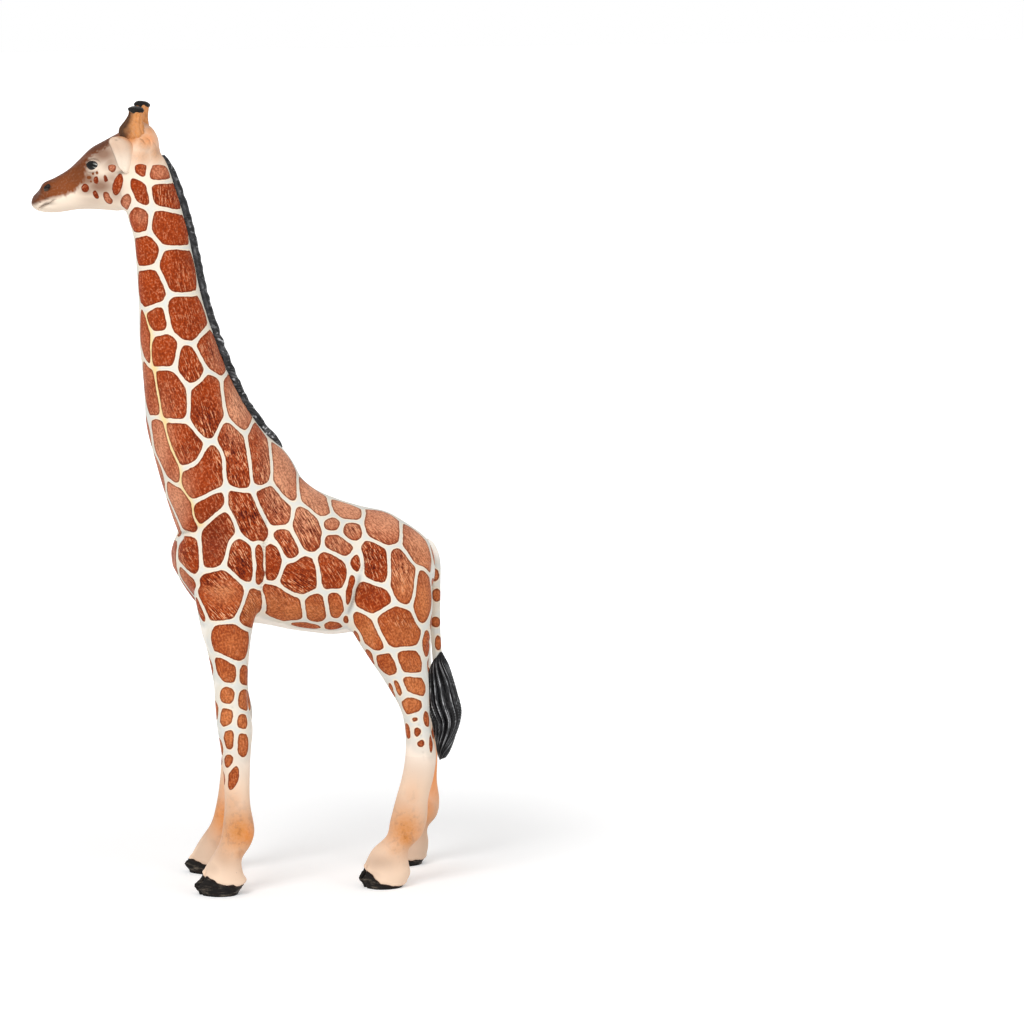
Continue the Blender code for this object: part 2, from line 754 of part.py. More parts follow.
# Every piece gets its own painted vinyl, and is shaded smooth up to a sharp edge
coat_colour = (0.42, 0.115, 0.045)
cream_colour = (0.80, 0.72, 0.60)
black_colour = (0.012, 0.011, 0.011)
horn_colour = (0.74, 0.38, 0.16)
coat_roughness = 0.5
black_roughness = 0.28
finishes = [
    ([torso_left, torso_right, neck, head, tail], coat_colour, coat_roughness),
    (legs + ears, cream_colour, coat_roughness),
    (horns, horn_colour, coat_roughness),
    (hooves + [mane, tuft], black_colour, black_roughness),
]
for group, colour, roughness in finishes:
    for piece in group:
        piece.data.materials.clear()
        piece.data.materials.append(add_material(piece.name, colour, roughness))
        piece.data.shade_smooth()
        piece.data.set_sharp_from_angle(angle=smooth_angle)

# The origin goes to the middle of the footprint of the whole figure
pieces = [piece for group, _, _ in finishes for piece in group]
corners = [piece.matrix_world @ Vector(corner) for piece in pieces for corner in piece.bound_box]
middle_x = (min(c.x for c in corners) + max(c.x for c in corners)) / 2
middle_y = (min(c.y for c in corners) + max(c.y for c in corners)) / 2
for piece in pieces:
    piece.location = (-middle_x, -middle_y, 0)
bpy.context.view_layer.update()
print("origin moved by", round(-middle_x, 6), round(-middle_y, 6))
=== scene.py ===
import math

import bmesh
import bpy
import numpy as np
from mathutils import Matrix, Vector
from mathutils.bvhtree import BVHTree


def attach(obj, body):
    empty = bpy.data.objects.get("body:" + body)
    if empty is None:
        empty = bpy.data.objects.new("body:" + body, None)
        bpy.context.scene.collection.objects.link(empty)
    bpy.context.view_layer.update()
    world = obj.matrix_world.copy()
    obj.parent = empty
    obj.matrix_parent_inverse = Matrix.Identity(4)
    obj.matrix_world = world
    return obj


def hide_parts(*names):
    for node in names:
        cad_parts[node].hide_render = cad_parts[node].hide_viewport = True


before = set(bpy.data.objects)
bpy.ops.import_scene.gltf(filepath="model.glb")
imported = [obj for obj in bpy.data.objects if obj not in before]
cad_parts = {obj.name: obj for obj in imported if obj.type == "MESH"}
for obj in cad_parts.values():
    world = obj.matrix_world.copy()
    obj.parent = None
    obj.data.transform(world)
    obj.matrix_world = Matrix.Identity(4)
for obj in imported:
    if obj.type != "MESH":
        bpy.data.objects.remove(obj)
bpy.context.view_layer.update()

metresPerMm = 0.001

# The photograph's camera: angles in degrees, image places in pixels, the rest in millimetres.
# The pixel at origin is where the drawing's own origin shows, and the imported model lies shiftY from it.
photo = {
    "size": 1024,
    "azimuth": 78.0,
    "elevation": 8.0,
    "mmPerPixel": 0.215,
    "distance": 1223.0,
    "origin": (247.5, 881.0),
    "shiftY": -0.523,
    "sensor": 36.0,
}

# Body shapes. A part starts at its corner, along and up, and its rows are shares of its reach from there.
torso = {
    "corner": (-16.0, 53.1), "reach": (57.0, 36.0), "width": 26.0, "egg": 0.10,
    # top along and up, bottom along and up, half width
    "rows": [
        (0.01, 0.56, 0.01, 0.43, 0.23), (0.05, 0.69, 0.06, 0.29, 0.58), (0.13, 0.82, 0.12, 0.18, 0.77),
        (0.24, 0.92, 0.22, 0.11, 0.89), (0.34, 0.97, 0.34, 0.08, 0.94), (0.455, 0.985, 0.45, 0.04, 0.97),
        (0.545, 0.88, 0.53, 0.02, 1.00), (0.64, 0.81, 0.60, 0.005, 1.00), (0.74, 0.76, 0.69, 0.02, 0.97),
        (0.825, 0.725, 0.78, 0.065, 0.93), (0.91, 0.64, 0.86, 0.125, 0.85), (0.97, 0.56, 0.93, 0.18, 0.65),
        (0.995, 0.47, 0.98, 0.26, 0.35),
    ],
}
neck = {
    "corner": (-16.0, 77.1), "reach": (26.0, 70.0), "width": 22.0, "egg": 0.0,
    # front along and up, back along and up, half width
    "rows": [
        (0.19, -0.11, 1.11, 0.03, 0.91), (0.05, 0.00, 1.07, 0.15, 1.00), (-0.055, 0.12, 0.96, 0.225, 0.95),
        (-0.125, 0.215, 0.785, 0.285, 0.86), (-0.19, 0.315, 0.63, 0.365, 0.76),
        (-0.21, 0.44, 0.49, 0.465, 0.66), (-0.24, 0.56, 0.37, 0.585, 0.57),
        (-0.245, 0.685, 0.27, 0.705, 0.51), (-0.26, 0.785, 0.215, 0.805, 0.47),
        (-0.28, 0.88, 0.16, 0.905, 0.44), (-0.34, 0.96, 0.10, 0.99, 0.42), (-0.385, 1.03, 0.02, 1.085, 0.38),
        (-0.365, 1.085, -0.04, 1.14, 0.30),
    ],
    # the seams to the torso and to the head: front and back
    "lowerSeam": ((0.035, -0.01), (1.02, 0.19)),
    "upperSeam": ((-0.36, 0.965), (0.03, 1.10)),
}
head = {
    "corner": (-17.0, 144.6), "reach": (-28.0, 18.0), "width": 11.2, "turn": 18.0, "egg": -0.12,
    # crown forward and up, jaw forward and up, half width
    "rows": [
        (1.00, 0.16, 1.00, 0.04, 0.32), (0.97, 0.225, 0.945, -0.01, 0.54), (0.915, 0.31, 0.85, -0.025, 0.66),
        (0.835, 0.38, 0.765, -0.015, 0.68), (0.73, 0.475, 0.65, 0.015, 0.66), (0.64, 0.60, 0.53, 0.02, 0.79),
        (0.55, 0.735, 0.42, 0.01, 0.93), (0.455, 0.82, 0.32, 0.005, 1.00), (0.345, 0.91, 0.22, 0.06, 1.00),
        (0.22, 1.00, 0.13, 0.17, 0.95), (0.13, 0.98, 0.055, 0.305, 0.82), (0.05, 0.85, 0.01, 0.47, 0.57),
    ],
}
frontLeg = {
    "height": 65.1, "depth": 12.0, "width": 10.8, "y": -7.0, "footX": 11.9, "topX": 8.0, "stride": 3.3,
    # height, front, back, half width
    "rows": [
        (1.00, -0.46, 0.71, 0.83), (0.88, -0.35, 0.61, 1.00), (0.79, -0.22, 0.52, 0.85),
        (0.70, -0.13, 0.48, 0.72), (0.62, -0.10, 0.48, 0.65), (0.545, -0.07, 0.56, 0.69),
        (0.485, -0.02, 0.53, 0.61), (0.41, 0.02, 0.50, 0.52), (0.30, 0.04, 0.49, 0.50),
        (0.21, -0.01, 0.56, 0.57), (0.16, -0.08, 0.49, 0.59), (0.115, -0.23, 0.33, 0.63),
        (0.075, -0.37, 0.335, 0.70), (0.042, -0.46, 0.395, 0.75), (0.010, -0.52, 0.385, 0.73),
        (-0.002, -0.48, 0.335, 0.66), (-0.02, -0.38, 0.22, 0.50),
    ],
    # height, how much of the stride the right leg lies behind the left
    "strideRows": [(0.0, 0.48), (0.12, 0.50), (0.30, 0.70), (0.42, 0.94), (0.80, 1.0), (1.0, 0.6)],
    # front and back of the hoof's seam, and how high its black paint reaches: behind the middle, height
    "hoofEnds": (-0.51, 0.37),
    "inkRows": [
        (-6.5, 5.2), (-4.6, 4.7), (-3.4, 3.9), (-2.0, 3.2), (0.0, 2.5), (2.5, 2.15), (4.0, 2.3), (5.2, 2.7),
    ],
    # how much lower it reaches on the right hoof, and how high the sole's toe and heel lift
    "inkLower": [(-6.5, 1.9), (-2.0, 1.0), (4.4, 0.5)],
    "soleLift": (1.3, 1.5),
    "node": "front",
}
hindLeg = {
    "height": 69.1, "depth": 18.0, "width": 12.0, "y": 30.0, "footX": 11.6, "topX": 7.4, "stride": 8.8,
    "rows": [
        (1.00, -0.33, 0.47, 0.83), (0.885, -0.53, 0.47, 1.00), (0.80, -0.48, 0.44, 0.93),
        (0.715, -0.28, 0.43, 0.80), (0.63, -0.07, 0.43, 0.68), (0.555, 0.09, 0.44, 0.58),
        (0.485, 0.155, 0.46, 0.53), (0.41, 0.155, 0.52, 0.53), (0.34, 0.11, 0.49, 0.50),
        (0.27, 0.03, 0.42, 0.45), (0.205, -0.04, 0.40, 0.50), (0.155, -0.09, 0.33, 0.52),
        (0.115, -0.26, 0.18, 0.56), (0.07, -0.36, 0.16, 0.62), (0.038, -0.42, 0.16, 0.66),
        (0.009, -0.445, 0.135, 0.65), (-0.002, -0.41, 0.105, 0.59), (-0.02, -0.33, 0.04, 0.45),
    ],
    "strideRows": [
        (0.0, 1.0), (0.11, 0.96), (0.16, 0.87), (0.27, 0.69), (0.34, 0.55), (0.41, 0.48),
        (0.63, 0.48), (0.72, 0.45), (0.80, 0.34), (0.89, 0.17), (1.0, 0.0),
    ],
    "hoofEnds": (-0.44, 0.13),
    "inkRows": [
        (-8.2, 5.4), (-7.0, 4.8), (-6.2, 4.0), (-5.0, 2.7), (-3.8, 1.5), (-2.6, 1.1), (-1.2, 0.7), (1.0, 0.4),
    ],
    "inkLower": [(-8.0, 0.0), (-5.0, -0.2), (-3.0, -0.6), (1.0, -0.8)],
    "soleLift": (1.2, 0.5),
    "node": "hind",
}
legs = (frontLeg, hindLeg)
# heights of the seams, how far back the front legs' half of the body ends, and a value for far from any paint
seams = {"legs": 52.1, "hoofToe": 4.1, "hoofHeel": 2.0}
midBodyY = 12.0
unpainted = -5.0
skin = {
    "voxel": 0.27, "rounding": 5, "junctionRounding": 110, "spare": 1.2, "rowSteps": 8, "bodySides": 72,
    "legSides": 48,
}


def smoothRows(rows, steps):
    # Catmull-Rom: between two rows runs the cubic whose end slopes come from the rows on either side
    rows = np.array(rows, float)
    padded = np.vstack([rows[:1], rows, rows[-1:]])
    a, b, c, d = padded[:-3], padded[1:-2], padded[2:-1], padded[3:]
    t = (np.arange(steps) / steps)[:, None, None]
    bend = (2 * a - 5 * b + 4 * c - d) * t + (3 * b - a - 3 * c + d) * t * t
    curve = b + 0.5 * t * ((c - a) + bend)
    return np.vstack([curve.transpose(1, 0, 2).reshape(-1, rows.shape[1]), rows[-1:]])


def smoothStep(value, low, high):
    # 0 below low, 1 above high, and the cubic 3t2 - 2t3 between them
    t = np.clip((value - low) / (high - low), 0, 1)
    return t * t * (3 - 2 * t)


def unit(vectors):
    return vectors / np.linalg.norm(vectors, axis=-1, keepdims=True)


def wavyNoise(points, wavelength, seed, waves=24):
    # a sum of sine waves in random directions, each about one wavelength long, of about unit height
    rng = np.random.default_rng(seed)
    directions = unit(rng.normal(size=(waves, points.shape[-1])))
    lengths = wavelength * rng.uniform(0.7, 1.5, waves)
    phases = rng.uniform(0, 2 * math.pi, waves)
    return np.sin(2 * math.pi * (points @ directions.T) / lengths + phases).sum(-1) / math.sqrt(waves / 2)


def gridMesh(points):
    # quads between neighbouring rings of a closed tube, with a fan of triangles to a middle point at each end
    rings, sides, _ = points.shape
    index = np.arange(rings * sides).reshape(rings, sides)
    beside = np.roll(index, -1, axis=1)
    quads = np.stack([index[:-1], beside[:-1], beside[1:], index[1:]], -1).reshape(-1, 4)
    first, last = rings * sides, rings * sides + 1
    low = np.stack([beside[0], index[0], np.full(sides, first)], -1)
    high = np.stack([index[-1], beside[-1], np.full(sides, last)], -1)
    verts = np.vstack([points.reshape(-1, 3), points[0].mean(0), points[-1].mean(0)])
    return verts, quads, np.vstack([low, high])


def makeMesh(name, verts, quads, tris):
    # numpy arrays of millimetres and corner numbers become a mesh in metres
    corners = np.concatenate([quads.ravel(), tris.ravel()]).astype(np.int32)
    counts = np.concatenate([np.full(len(quads), 4), np.full(len(tris), 3)])
    starts = np.concatenate([[0], np.cumsum(counts)[:-1]]).astype(np.int32)
    mesh = bpy.data.meshes.new(name)
    mesh.vertices.add(len(verts))
    mesh.vertices.foreach_set("co", (verts * metresPerMm).astype(np.float32).ravel())
    mesh.loops.add(len(corners))
    mesh.loops.foreach_set("vertex_index", corners)
    mesh.polygons.add(len(counts))
    mesh.polygons.foreach_set("loop_start", starts)
    mesh.update(calc_edges=True)
    mesh.validate()
    return mesh


def addObject(name, mesh):
    made = bpy.data.objects.new(name, mesh)
    bpy.context.scene.collection.objects.link(made)
    return made


def outward(mesh):
    # turns every face of a closed mesh outwards
    shape = bmesh.new()
    shape.from_mesh(mesh)
    bmesh.ops.recalc_face_normals(shape, faces=shape.faces)
    shape.to_mesh(mesh)
    shape.free()
    return mesh


def readMesh(mesh):
    # points in millimetres, outward normals and the two ends of each edge
    points = np.empty(len(mesh.vertices) * 3, np.float32)
    mesh.vertices.foreach_get("co", points)
    normals = np.empty(len(mesh.vertices) * 3, np.float32)
    mesh.vertex_normals.foreach_get("vector", normals)
    edges = np.empty(len(mesh.edges) * 2, np.int32)
    mesh.edges.foreach_get("vertices", edges)
    points = points.reshape(-1, 3).astype(float) / metresPerMm
    return points, normals.reshape(-1, 3).astype(float), edges.reshape(-1, 2)


def writePoints(mesh, points):
    mesh.vertices.foreach_set("co", (points * metresPerMm).astype(np.float32).ravel())
    mesh.update()


def addAttributes(mesh, **fields):
    # one, three or four numbers at each point are a float, a vector or a colour
    kinds = {1: ("FLOAT", "value"), 3: ("FLOAT_VECTOR", "vector"), 4: ("FLOAT_COLOR", "color")}
    for name, values in fields.items():
        kind, field = kinds[values[0].size]
        layer = mesh.attributes.new(name, kind, "POINT")
        layer.data.foreach_set(field, np.ascontiguousarray(values, np.float32).ravel())


def reshaped(mesh, kind, **settings):
    # the mesh that a modifier makes of this one
    made = addObject("reshaped", mesh)
    modifier = made.modifiers.new("reshaped", kind)
    for name, value in settings.items():
        setattr(modifier, name, value)
    result = bpy.data.meshes.new_from_object(made.evaluated_get(bpy.context.evaluated_depsgraph_get()))
    bpy.data.objects.remove(made, do_unlink=True)
    return result


def neighbourMean(points, edges):
    # the mean place of each point's neighbours along the edges
    count = np.bincount(edges.ravel(), minlength=len(points))
    total = np.empty_like(points)
    for axis in range(points.shape[1]):
        total[:, axis] = np.bincount(edges[:, 0], points[edges[:, 1], axis], len(points))
        total[:, axis] += np.bincount(edges[:, 1], points[edges[:, 0], axis], len(points))
    return total / np.maximum(count, 1)[:, None]


def relaxed(points, edges, weight, rounds):
    # each round moves a point towards its neighbours' mean by its weight
    moving = np.flatnonzero(weight > 0.01)
    near = np.zeros(len(points), bool)
    near[moving] = True
    some = edges[near[edges].any(1)]
    for _ in range(rounds):
        mean = neighbourMean(points, some)
        points = points.copy()
        points[moving] += weight[moving, None] * (mean[moving] - points[moving])
    return points


# The camera's axes and place, and the way between its image and the model
azimuth = math.radians(photo["azimuth"])
elevation = math.radians(photo["elevation"])
toRight = np.array([math.cos(azimuth), math.sin(azimuth), 0.0])
toCamera = np.array([
    math.sin(azimuth) * math.cos(elevation), -math.cos(azimuth) * math.cos(elevation), math.sin(elevation),
])
toTop = np.cross(toCamera, toRight)
middlePixel = photo["size"] / 2
aim = toRight * (middlePixel - photo["origin"][0]) * photo["mmPerPixel"]
aim = aim + toTop * (photo["origin"][1] - middlePixel) * photo["mmPerPixel"]
aim = aim + np.array([0.0, photo["shiftY"], 0.0])
eyePoint = aim + toCamera * photo["distance"]


def imagePlace(points):
    # where points show in the photograph, in its pixels
    away = points - eyePoint
    scale = photo["distance"] / (-(away @ toCamera) * photo["mmPerPixel"])
    return middlePixel + (away @ toRight) * scale, middlePixel - (away @ toTop) * scale


def pixelRay(x, y):
    # the direction from the camera through a pixel
    across = toRight * (x - middlePixel) * photo["mmPerPixel"]
    ray = across + toTop * (middlePixel - y) * photo["mmPerPixel"] - toCamera * photo["distance"]
    return ray / np.linalg.norm(ray)


def onPlane(x, y, side):
    # the point at this distance to the animal's left that shows at a pixel
    ray = pixelRay(x, y)
    return eyePoint + ray * (side - eyePoint[0]) / ray[0]


def middlePlace(part, along, up):
    # the point of the middle plane at these shares of a part's reach from its corner
    y = part["corner"][0] + np.asarray(along) * part["reach"][0] + photo["shiftY"]
    return np.stack([0 * y, y, part["corner"][1] + np.asarray(up) * part["reach"][1]], -1)


headPivot = np.array([0.0, head["corner"][0] + photo["shiftY"], 0.0])


def headTurned(points, share=1.0):
    # turns points about the upright line at the back of the head, by a share of the head's turn
    angle = -math.radians(head["turn"]) * share
    x, y, z = np.moveaxis(points - headPivot, -1, 0)
    cosine, sine = np.cos(angle), np.sin(angle)
    return np.stack([x * cosine - y * sine, x * sine + y * cosine, z], -1) + headPivot


def ovalTube(first, second, side, sides, egg):
    # a ring's point is centre + reach cos t + side sin t (1 - egg cos t), where reach runs to the first line
    t = np.linspace(0, 2 * math.pi, sides, endpoint=False)
    centre = (first + second) / 2
    reach = (first - second) / 2
    wide = (np.sin(t) * (1 - egg * np.cos(t)))[:, None]
    return centre[:, None] + reach[:, None] * np.cos(t)[:, None] + side[:, None] * wide


def bodyTube(part):
    # the tube between a part's two lines, with its half widths
    rows = smoothRows(part["rows"], skin["rowSteps"])
    first, second = (middlePlace(part, *ends.T) for ends in (rows[:, 0:2], rows[:, 2:4]))
    side = np.outer(rows[:, 4] * part["width"] / 2, [1, 0, 0])
    return ovalTube(first, second, side, skin["bodySides"], part["egg"])


def strideAt(leg, up):
    # how far the right leg lies behind the left at a share of the leg's height
    rows = np.array(leg["strideRows"])
    return leg["stride"] * np.interp(up, rows[:, 0], rows[:, 1])


def legX(leg, up):
    return leg["footX"] + (leg["topX"] - leg["footX"]) * np.minimum(up, 1.0)


def eachLeg():
    # every leg with its side, 1 for left, and the middle of its foot along the body
    for leg in legs:
        for side in (1, -1):
            yield leg, side, leg["y"] + photo["shiftY"] + strideAt(leg, 0.0) * (side < 0)


def legTube(leg, side):
    # front and back lines of a leg from its rows; the stance splays outwards and the right leg lies behind
    up, front, back, wide = smoothRows(leg["rows"], skin["rowSteps"]).T
    x = side * legX(leg, up)
    y = leg["y"] + strideAt(leg, up) * (side < 0) + photo["shiftY"]
    z = up * leg["height"]
    first, second = (np.stack([x, y + share * leg["depth"], z], -1) for share in (front, back))
    return ovalTube(first, second, np.outer(wide * leg["width"] / 2, [1, 0, 0]), skin["legSides"], 0.0)


def joinedSkin():
    # every body tube in one mesh, wrapped by one skin of even voxels
    tubes = [bodyTube(torso), bodyTube(neck), headTurned(bodyTube(head))]
    tubes += [legTube(leg, side) for leg, side, _ in eachLeg()]
    parts = ([], [], [])
    for tube in tubes:
        start = sum(map(len, parts[0]))
        for kept, rows, shift in zip(parts, gridMesh(tube), (0, start, start)):
            kept.append(rows + shift)
    tubeMesh = outward(makeMesh("tubes", *map(np.vstack, parts)))
    return reshaped(tubeMesh, "REMESH", mode="VOXEL", voxel_size=skin["voxel"] * metresPerMm)


# Where parts of the body run into each other: place in the image, and reach in millimetres
junctions = [
    (200, 520, 10), (240, 560, 12), (285, 480, 12), (220, 625, 7), (250, 620, 8), (350, 620, 8),
    (206, 588, 10), (228, 580, 9), (375, 590, 12), (420, 600, 9), (132, 205, 5), (150, 150, 6), (128, 175, 5),
    (300, 480, 10),
]

# Muscles and hollows: place in the image, half width, half height, lean, and height in millimetres
muscles = [
    (222, 592, 24, 26, 0.2, 0.9), (240, 545, 14, 26, 0.5, 0.35), (188, 556, 12, 20, 0.3, 0.5),
    (395, 590, 26, 38, 0.4, 0.9), (420, 545, 14, 20, 0.5, 0.3), (300, 575, 26, 30, 0.0, 0.35),
    (232, 735, 14, 16, 0.0, 0.25), (425, 690, 10, 20, 0.3, 0.25), (355, 545, 12, 34, 0.2, -0.45),
    (275, 505, 14, 30, 0.4, -0.25), (196, 500, 9, 34, 0.5, 0.3), (228, 468, 12, 36, 0.4, -0.3),
    (178, 380, 9, 60, 0.3, 0.2), (247, 835, 8, 12, 0.0, 0.15), (420, 660, 12, 16, 0.4, -0.2),
    (246, 878, 7, 6, 0.0, 0.75), (407, 873, 6, 9, 0.0, 0.55), (428, 612, 6, 46, 0.0, 0.80),
]

# Folds: a line through places in the image, its depth and its half width in millimetres
folds = [
    ([(266, 522), (264, 540), (263, 560), (262, 580), (261, 600)], 0.55, 0.55),
    ([(266, 519), (265.5, 531), (263, 546)], 0.50, 0.28),
    ([(269, 531), (266, 545), (262, 558)], 0.30, 0.35),
    ([(360, 576), (357, 590), (352, 604), (348, 614)], 0.75, 0.80),
    ([(376, 545), (368, 558), (361, 572)], 0.40, 0.45),
    ([(172, 538), (180, 534), (190, 531), (198, 527)], 0.55, 0.55),
    ([(300, 512), (302, 524), (298, 540)], 0.25, 0.40),
    ([(431, 618), (428, 635), (425, 655)], 0.35, 0.45),
    ([(436, 628), (434, 645), (432, 660)], 0.30, 0.35),
    ([(233, 650), (232, 690), (233, 720)], 0.18, 0.50),
    ([(412, 700), (420, 730), (424, 760)], 0.20, 0.50),
]


def surfaceTree(mesh):
    shape = bmesh.new()
    shape.from_mesh(mesh)
    tree = BVHTree.FromBMesh(shape)
    shape.free()
    return tree


def castPixel(tree, x, y):
    # the point of the skin that shows at a pixel, and its normal
    start = Vector(eyePoint * metresPerMm)
    place, normal, _, _ = tree.ray_cast(start, Vector(pixelRay(x, y)))
    if place is None:
        # past the outline: the nearest point of the skin to where the ray crosses the middle plane
        place, normal, _, _ = tree.find_nearest(Vector(onPlane(x, y, 4.0) * metresPerMm))
    return np.array(place) / metresPerMm, np.array(normal)


def tangentAxes(normal):
    # the ways along the skin that show as one pixel to the right and one pixel down
    facing = max(normal @ toCamera, 0.35)
    right = (toRight - toCamera * (toRight @ normal) / facing) * photo["mmPerPixel"]
    down = (-toTop + toCamera * (toTop @ normal) / facing) * photo["mmPerPixel"]
    return right, down


def spotMetric(right, down, normal, wide, tall, lean):
    # the matrix whose form is 1 on an ellipsoid that lies on the skin and shows with these half sizes
    spread = wide * wide * np.outer(right, right) + tall * tall * np.outer(down, down)
    spread += lean * wide * tall * (np.outer(right, down) + np.outer(down, right))
    thick = 0.75 * math.sqrt(wide * tall) * photo["mmPerPixel"]
    spread += thick * thick * np.outer(normal, normal)
    return np.linalg.inv(spread)


def mirrorHeadShare(points):
    # how much a point belongs to the turned head, from 0 below the upper seam to 1 above it
    return smoothStep((points - upperSeamPoint) @ upperSeamNormal, -3.0, 3.0)


def onLeftSide(points):
    # every point as its twin on the animal's left: mirrored in the middle plane, which turns with the head,
    # without the stride of the right legs, and a little out of step so that the sides aren't copies
    share = mirrorHeadShare(points)
    straight = headTurned(points, -share)
    right = straight[:, 0] < 0
    z = straight[:, 2]
    front = 1 - smoothStep(straight[:, 1], 6.0, 20.0)
    stride = front * strideAt(frontLeg, z / frontLeg["height"])
    stride += (1 - front) * strideAt(hindLeg, z / hindLeg["height"])
    stride *= 1 - smoothStep(z, 56.0, 70.0)
    straight[:, 1] -= np.where(right, stride, 0.0)
    drift = np.where(right, smoothStep(-straight[:, 0], 1.0, 6.0), 0.0) * (1 - 0.8 * share)
    straight[:, 2] += drift * 2.2 * np.sin(straight[:, 1] / 8.0 + 1.0)
    straight[:, 1] += drift * 1.6 * np.sin(z / 9.0)
    straight[:, 0] = np.abs(straight[:, 0])
    return headTurned(straight, share)


def slopingPlane(front, back):
    # the middle and the upward normal of the plane that slopes from front to back
    line = unit(back - front)
    return (front + back) / 2, np.array([0.0, -line[2], line[1]])


def neckSeam(ends):
    return slopingPlane(*(middlePlace(neck, *end) for end in ends))


lowerSeamPoint, lowerSeamNormal = neckSeam(neck["lowerSeam"])
upperSeamPoint, upperSeamNormal = neckSeam(neck["upperSeam"])


def spotForm(points, centre, metric):
    # the ellipsoid's form at each point: 0 at its middle and 1 on it
    away = points - centre
    return np.einsum("ij,jk,ik->i", away, metric, away)


def raiseSpots(points, normals, left, tree, rows):
    # adds height exp(-form / 2) along the normal at each spot
    height = np.zeros(len(points))
    for x, y, wide, tall, lean, tallness in rows:
        centre, normal = castPixel(tree, x, y)
        right, down = tangentAxes(normal)
        form = spotForm(left, centre, spotMetric(right, down, normal, wide * 0.8, tall * 0.8, lean))
        height += tallness * np.exp(-form / 2)
    return points + normals * height[:, None]


def cutFolds(points, normals, left, tree, rows):
    # lowers the skin by depth exp(-(d / width)^2), where d is the distance to the fold's line
    sink = np.zeros(len(points))
    for places, depth, width in rows:
        line = smoothRows(places, 6)
        on = np.array([castPixel(tree, x, y)[0] for x, y in line])
        fade = np.sin(np.linspace(0.12, math.pi - 0.12, len(on)))
        low, high = on.min(0) - 4 * width, on.max(0) + 4 * width
        near = np.flatnonzero(((left > low) & (left < high)).all(1))
        away = np.linalg.norm(left[near, None] - on[None], axis=2)
        sink[near] = np.maximum(sink[near], depth * (fade * np.exp(-(away / width) ** 2)).max(1))
    return points - normals * sink[:, None]


wrapped = joinedSkin()
points, normals, edges = readMesh(wrapped)
points = relaxed(points, edges, np.full(len(points), 0.5), skin["rounding"])
writePoints(wrapped, points)
tree = surfaceTree(wrapped)
left = onLeftSide(points)
blending = np.zeros(len(points))
for x, y, reach in junctions:
    centre, _ = castPixel(tree, x, y)
    blending = np.maximum(blending, smoothStep(-np.linalg.norm(left - centre, axis=1), -reach, -0.45 * reach))
points = relaxed(points, edges, 0.5 * blending, skin["junctionRounding"])
writePoints(wrapped, points)
_, normals, _ = readMesh(wrapped)
points = raiseSpots(points, normals, left, tree, muscles)
writePoints(wrapped, points)
_, normals, _ = readMesh(wrapped)
points = cutFolds(points, normals, left, tree, folds)
writePoints(wrapped, points)
tree = surfaceTree(wrapped)
print("skin wrapped:", len(wrapped.polygons), "faces")

# Patches of the coat: place in the image, half width, half height, and lean of the ellipse that each fills
neckPatches = [
    (141.5, 170, 4.5, 7, 0.3), (160, 174.5, 9.5, 7.5, 0.0), (140.5, 192.5, 8.5, 12.5, 0.45),
    (166.5, 195.5, 13.5, 13.5, 0.35), (126.5, 201.5, 4.5, 6.5, -0.3), (139.5, 220.5, 9.5, 12.5, 0.15),
    (170, 229, 18, 18, 0.25), (146.5, 250.5, 11.5, 15.5, 0.1), (178, 270.5, 17, 22.5, 0.2),
    (151, 288, 13, 19, 0.1), (187, 318.5, 18, 22.5, 0.25), (158.5, 318.5, 9.5, 13.5, 0.2),
    (145, 338, 5, 24, 0.6), (164.5, 350.5, 13.5, 16.5, 0.0), (191.5, 365, 13.5, 20, 0.35),
    (211, 352.5, 13, 19.5, 0.5), (150.5, 390.5, 7.5, 24.5, 0.55), (172, 395, 16, 25, 0.45),
    (207, 406, 17, 32, 0.0), (237, 402.5, 12, 22.5, 0.6), (165, 451, 13, 31, 0.8),
    (186, 445, 19, 22.5, 0.35), (205, 472, 22, 27, -0.45), (233, 456, 16, 33, 0.5),
    (261.5, 454.5, 10.5, 32.5, 0.35), (284.5, 471, 12.5, 28, 0.6), (182, 508, 14, 23, 0.7),
]
bodyPatches = [
    (207.5, 508.5, 16.5, 14.5, -0.45), (219, 538.5, 17, 29.5, -0.35), (247.5, 516, 18.5, 25, 0.5),
    (274, 507.5, 16, 20.5, 0.45), (308, 529.5, 15, 22.5, 0.3), (314.5, 499, 15.5, 17, 0.75),
    (287.5, 545, 12.5, 17, 0.4), (187.5, 554.5, 10.5, 17.5, 0.0), (240, 560, 15, 23, 0.35),
    (259.5, 565, 4.5, 22, 0.0), (274, 563, 10, 20, -0.1), (222.5, 595.5, 25.5, 24.5, 0.1),
    (188, 582, 8, 14, 0.85), (200, 609, 4, 10, 0.8), (299.5, 575.5, 21.5, 19.5, -0.2),
    (331, 570.5, 16, 19.5, 0.25), (338, 545, 15, 11, 0.4), (331.5, 524, 8.5, 7, 0.0),
    (352, 530.5, 9, 9.5, 0.0), (346, 511, 16, 9.5, 0.6), (382, 525, 18, 16, 0.3),
    (417.5, 546, 13.5, 21.5, 0.7), (357, 562, 6.5, 9.5, 0.0), (375, 562.5, 14.5, 21.5, 0.3),
    (403, 576, 13.5, 27.5, 0.3), (371, 596.5, 18, 14.5, 0.2), (350.5, 590, 5, 17, -0.5),
    (422.5, 598, 8, 28, -0.1), (283, 603.5, 21, 18.5, 0.5), (251, 607, 10.5, 19.5, -0.5),
    (315, 610, 11.5, 14, 0.0), (335.5, 606, 8, 14, 0.1), (308, 626, 14, 3.5, 0.5),
    (332, 626, 9, 4, -0.3), (345, 619.5, 2.5, 4, 0.0),
]
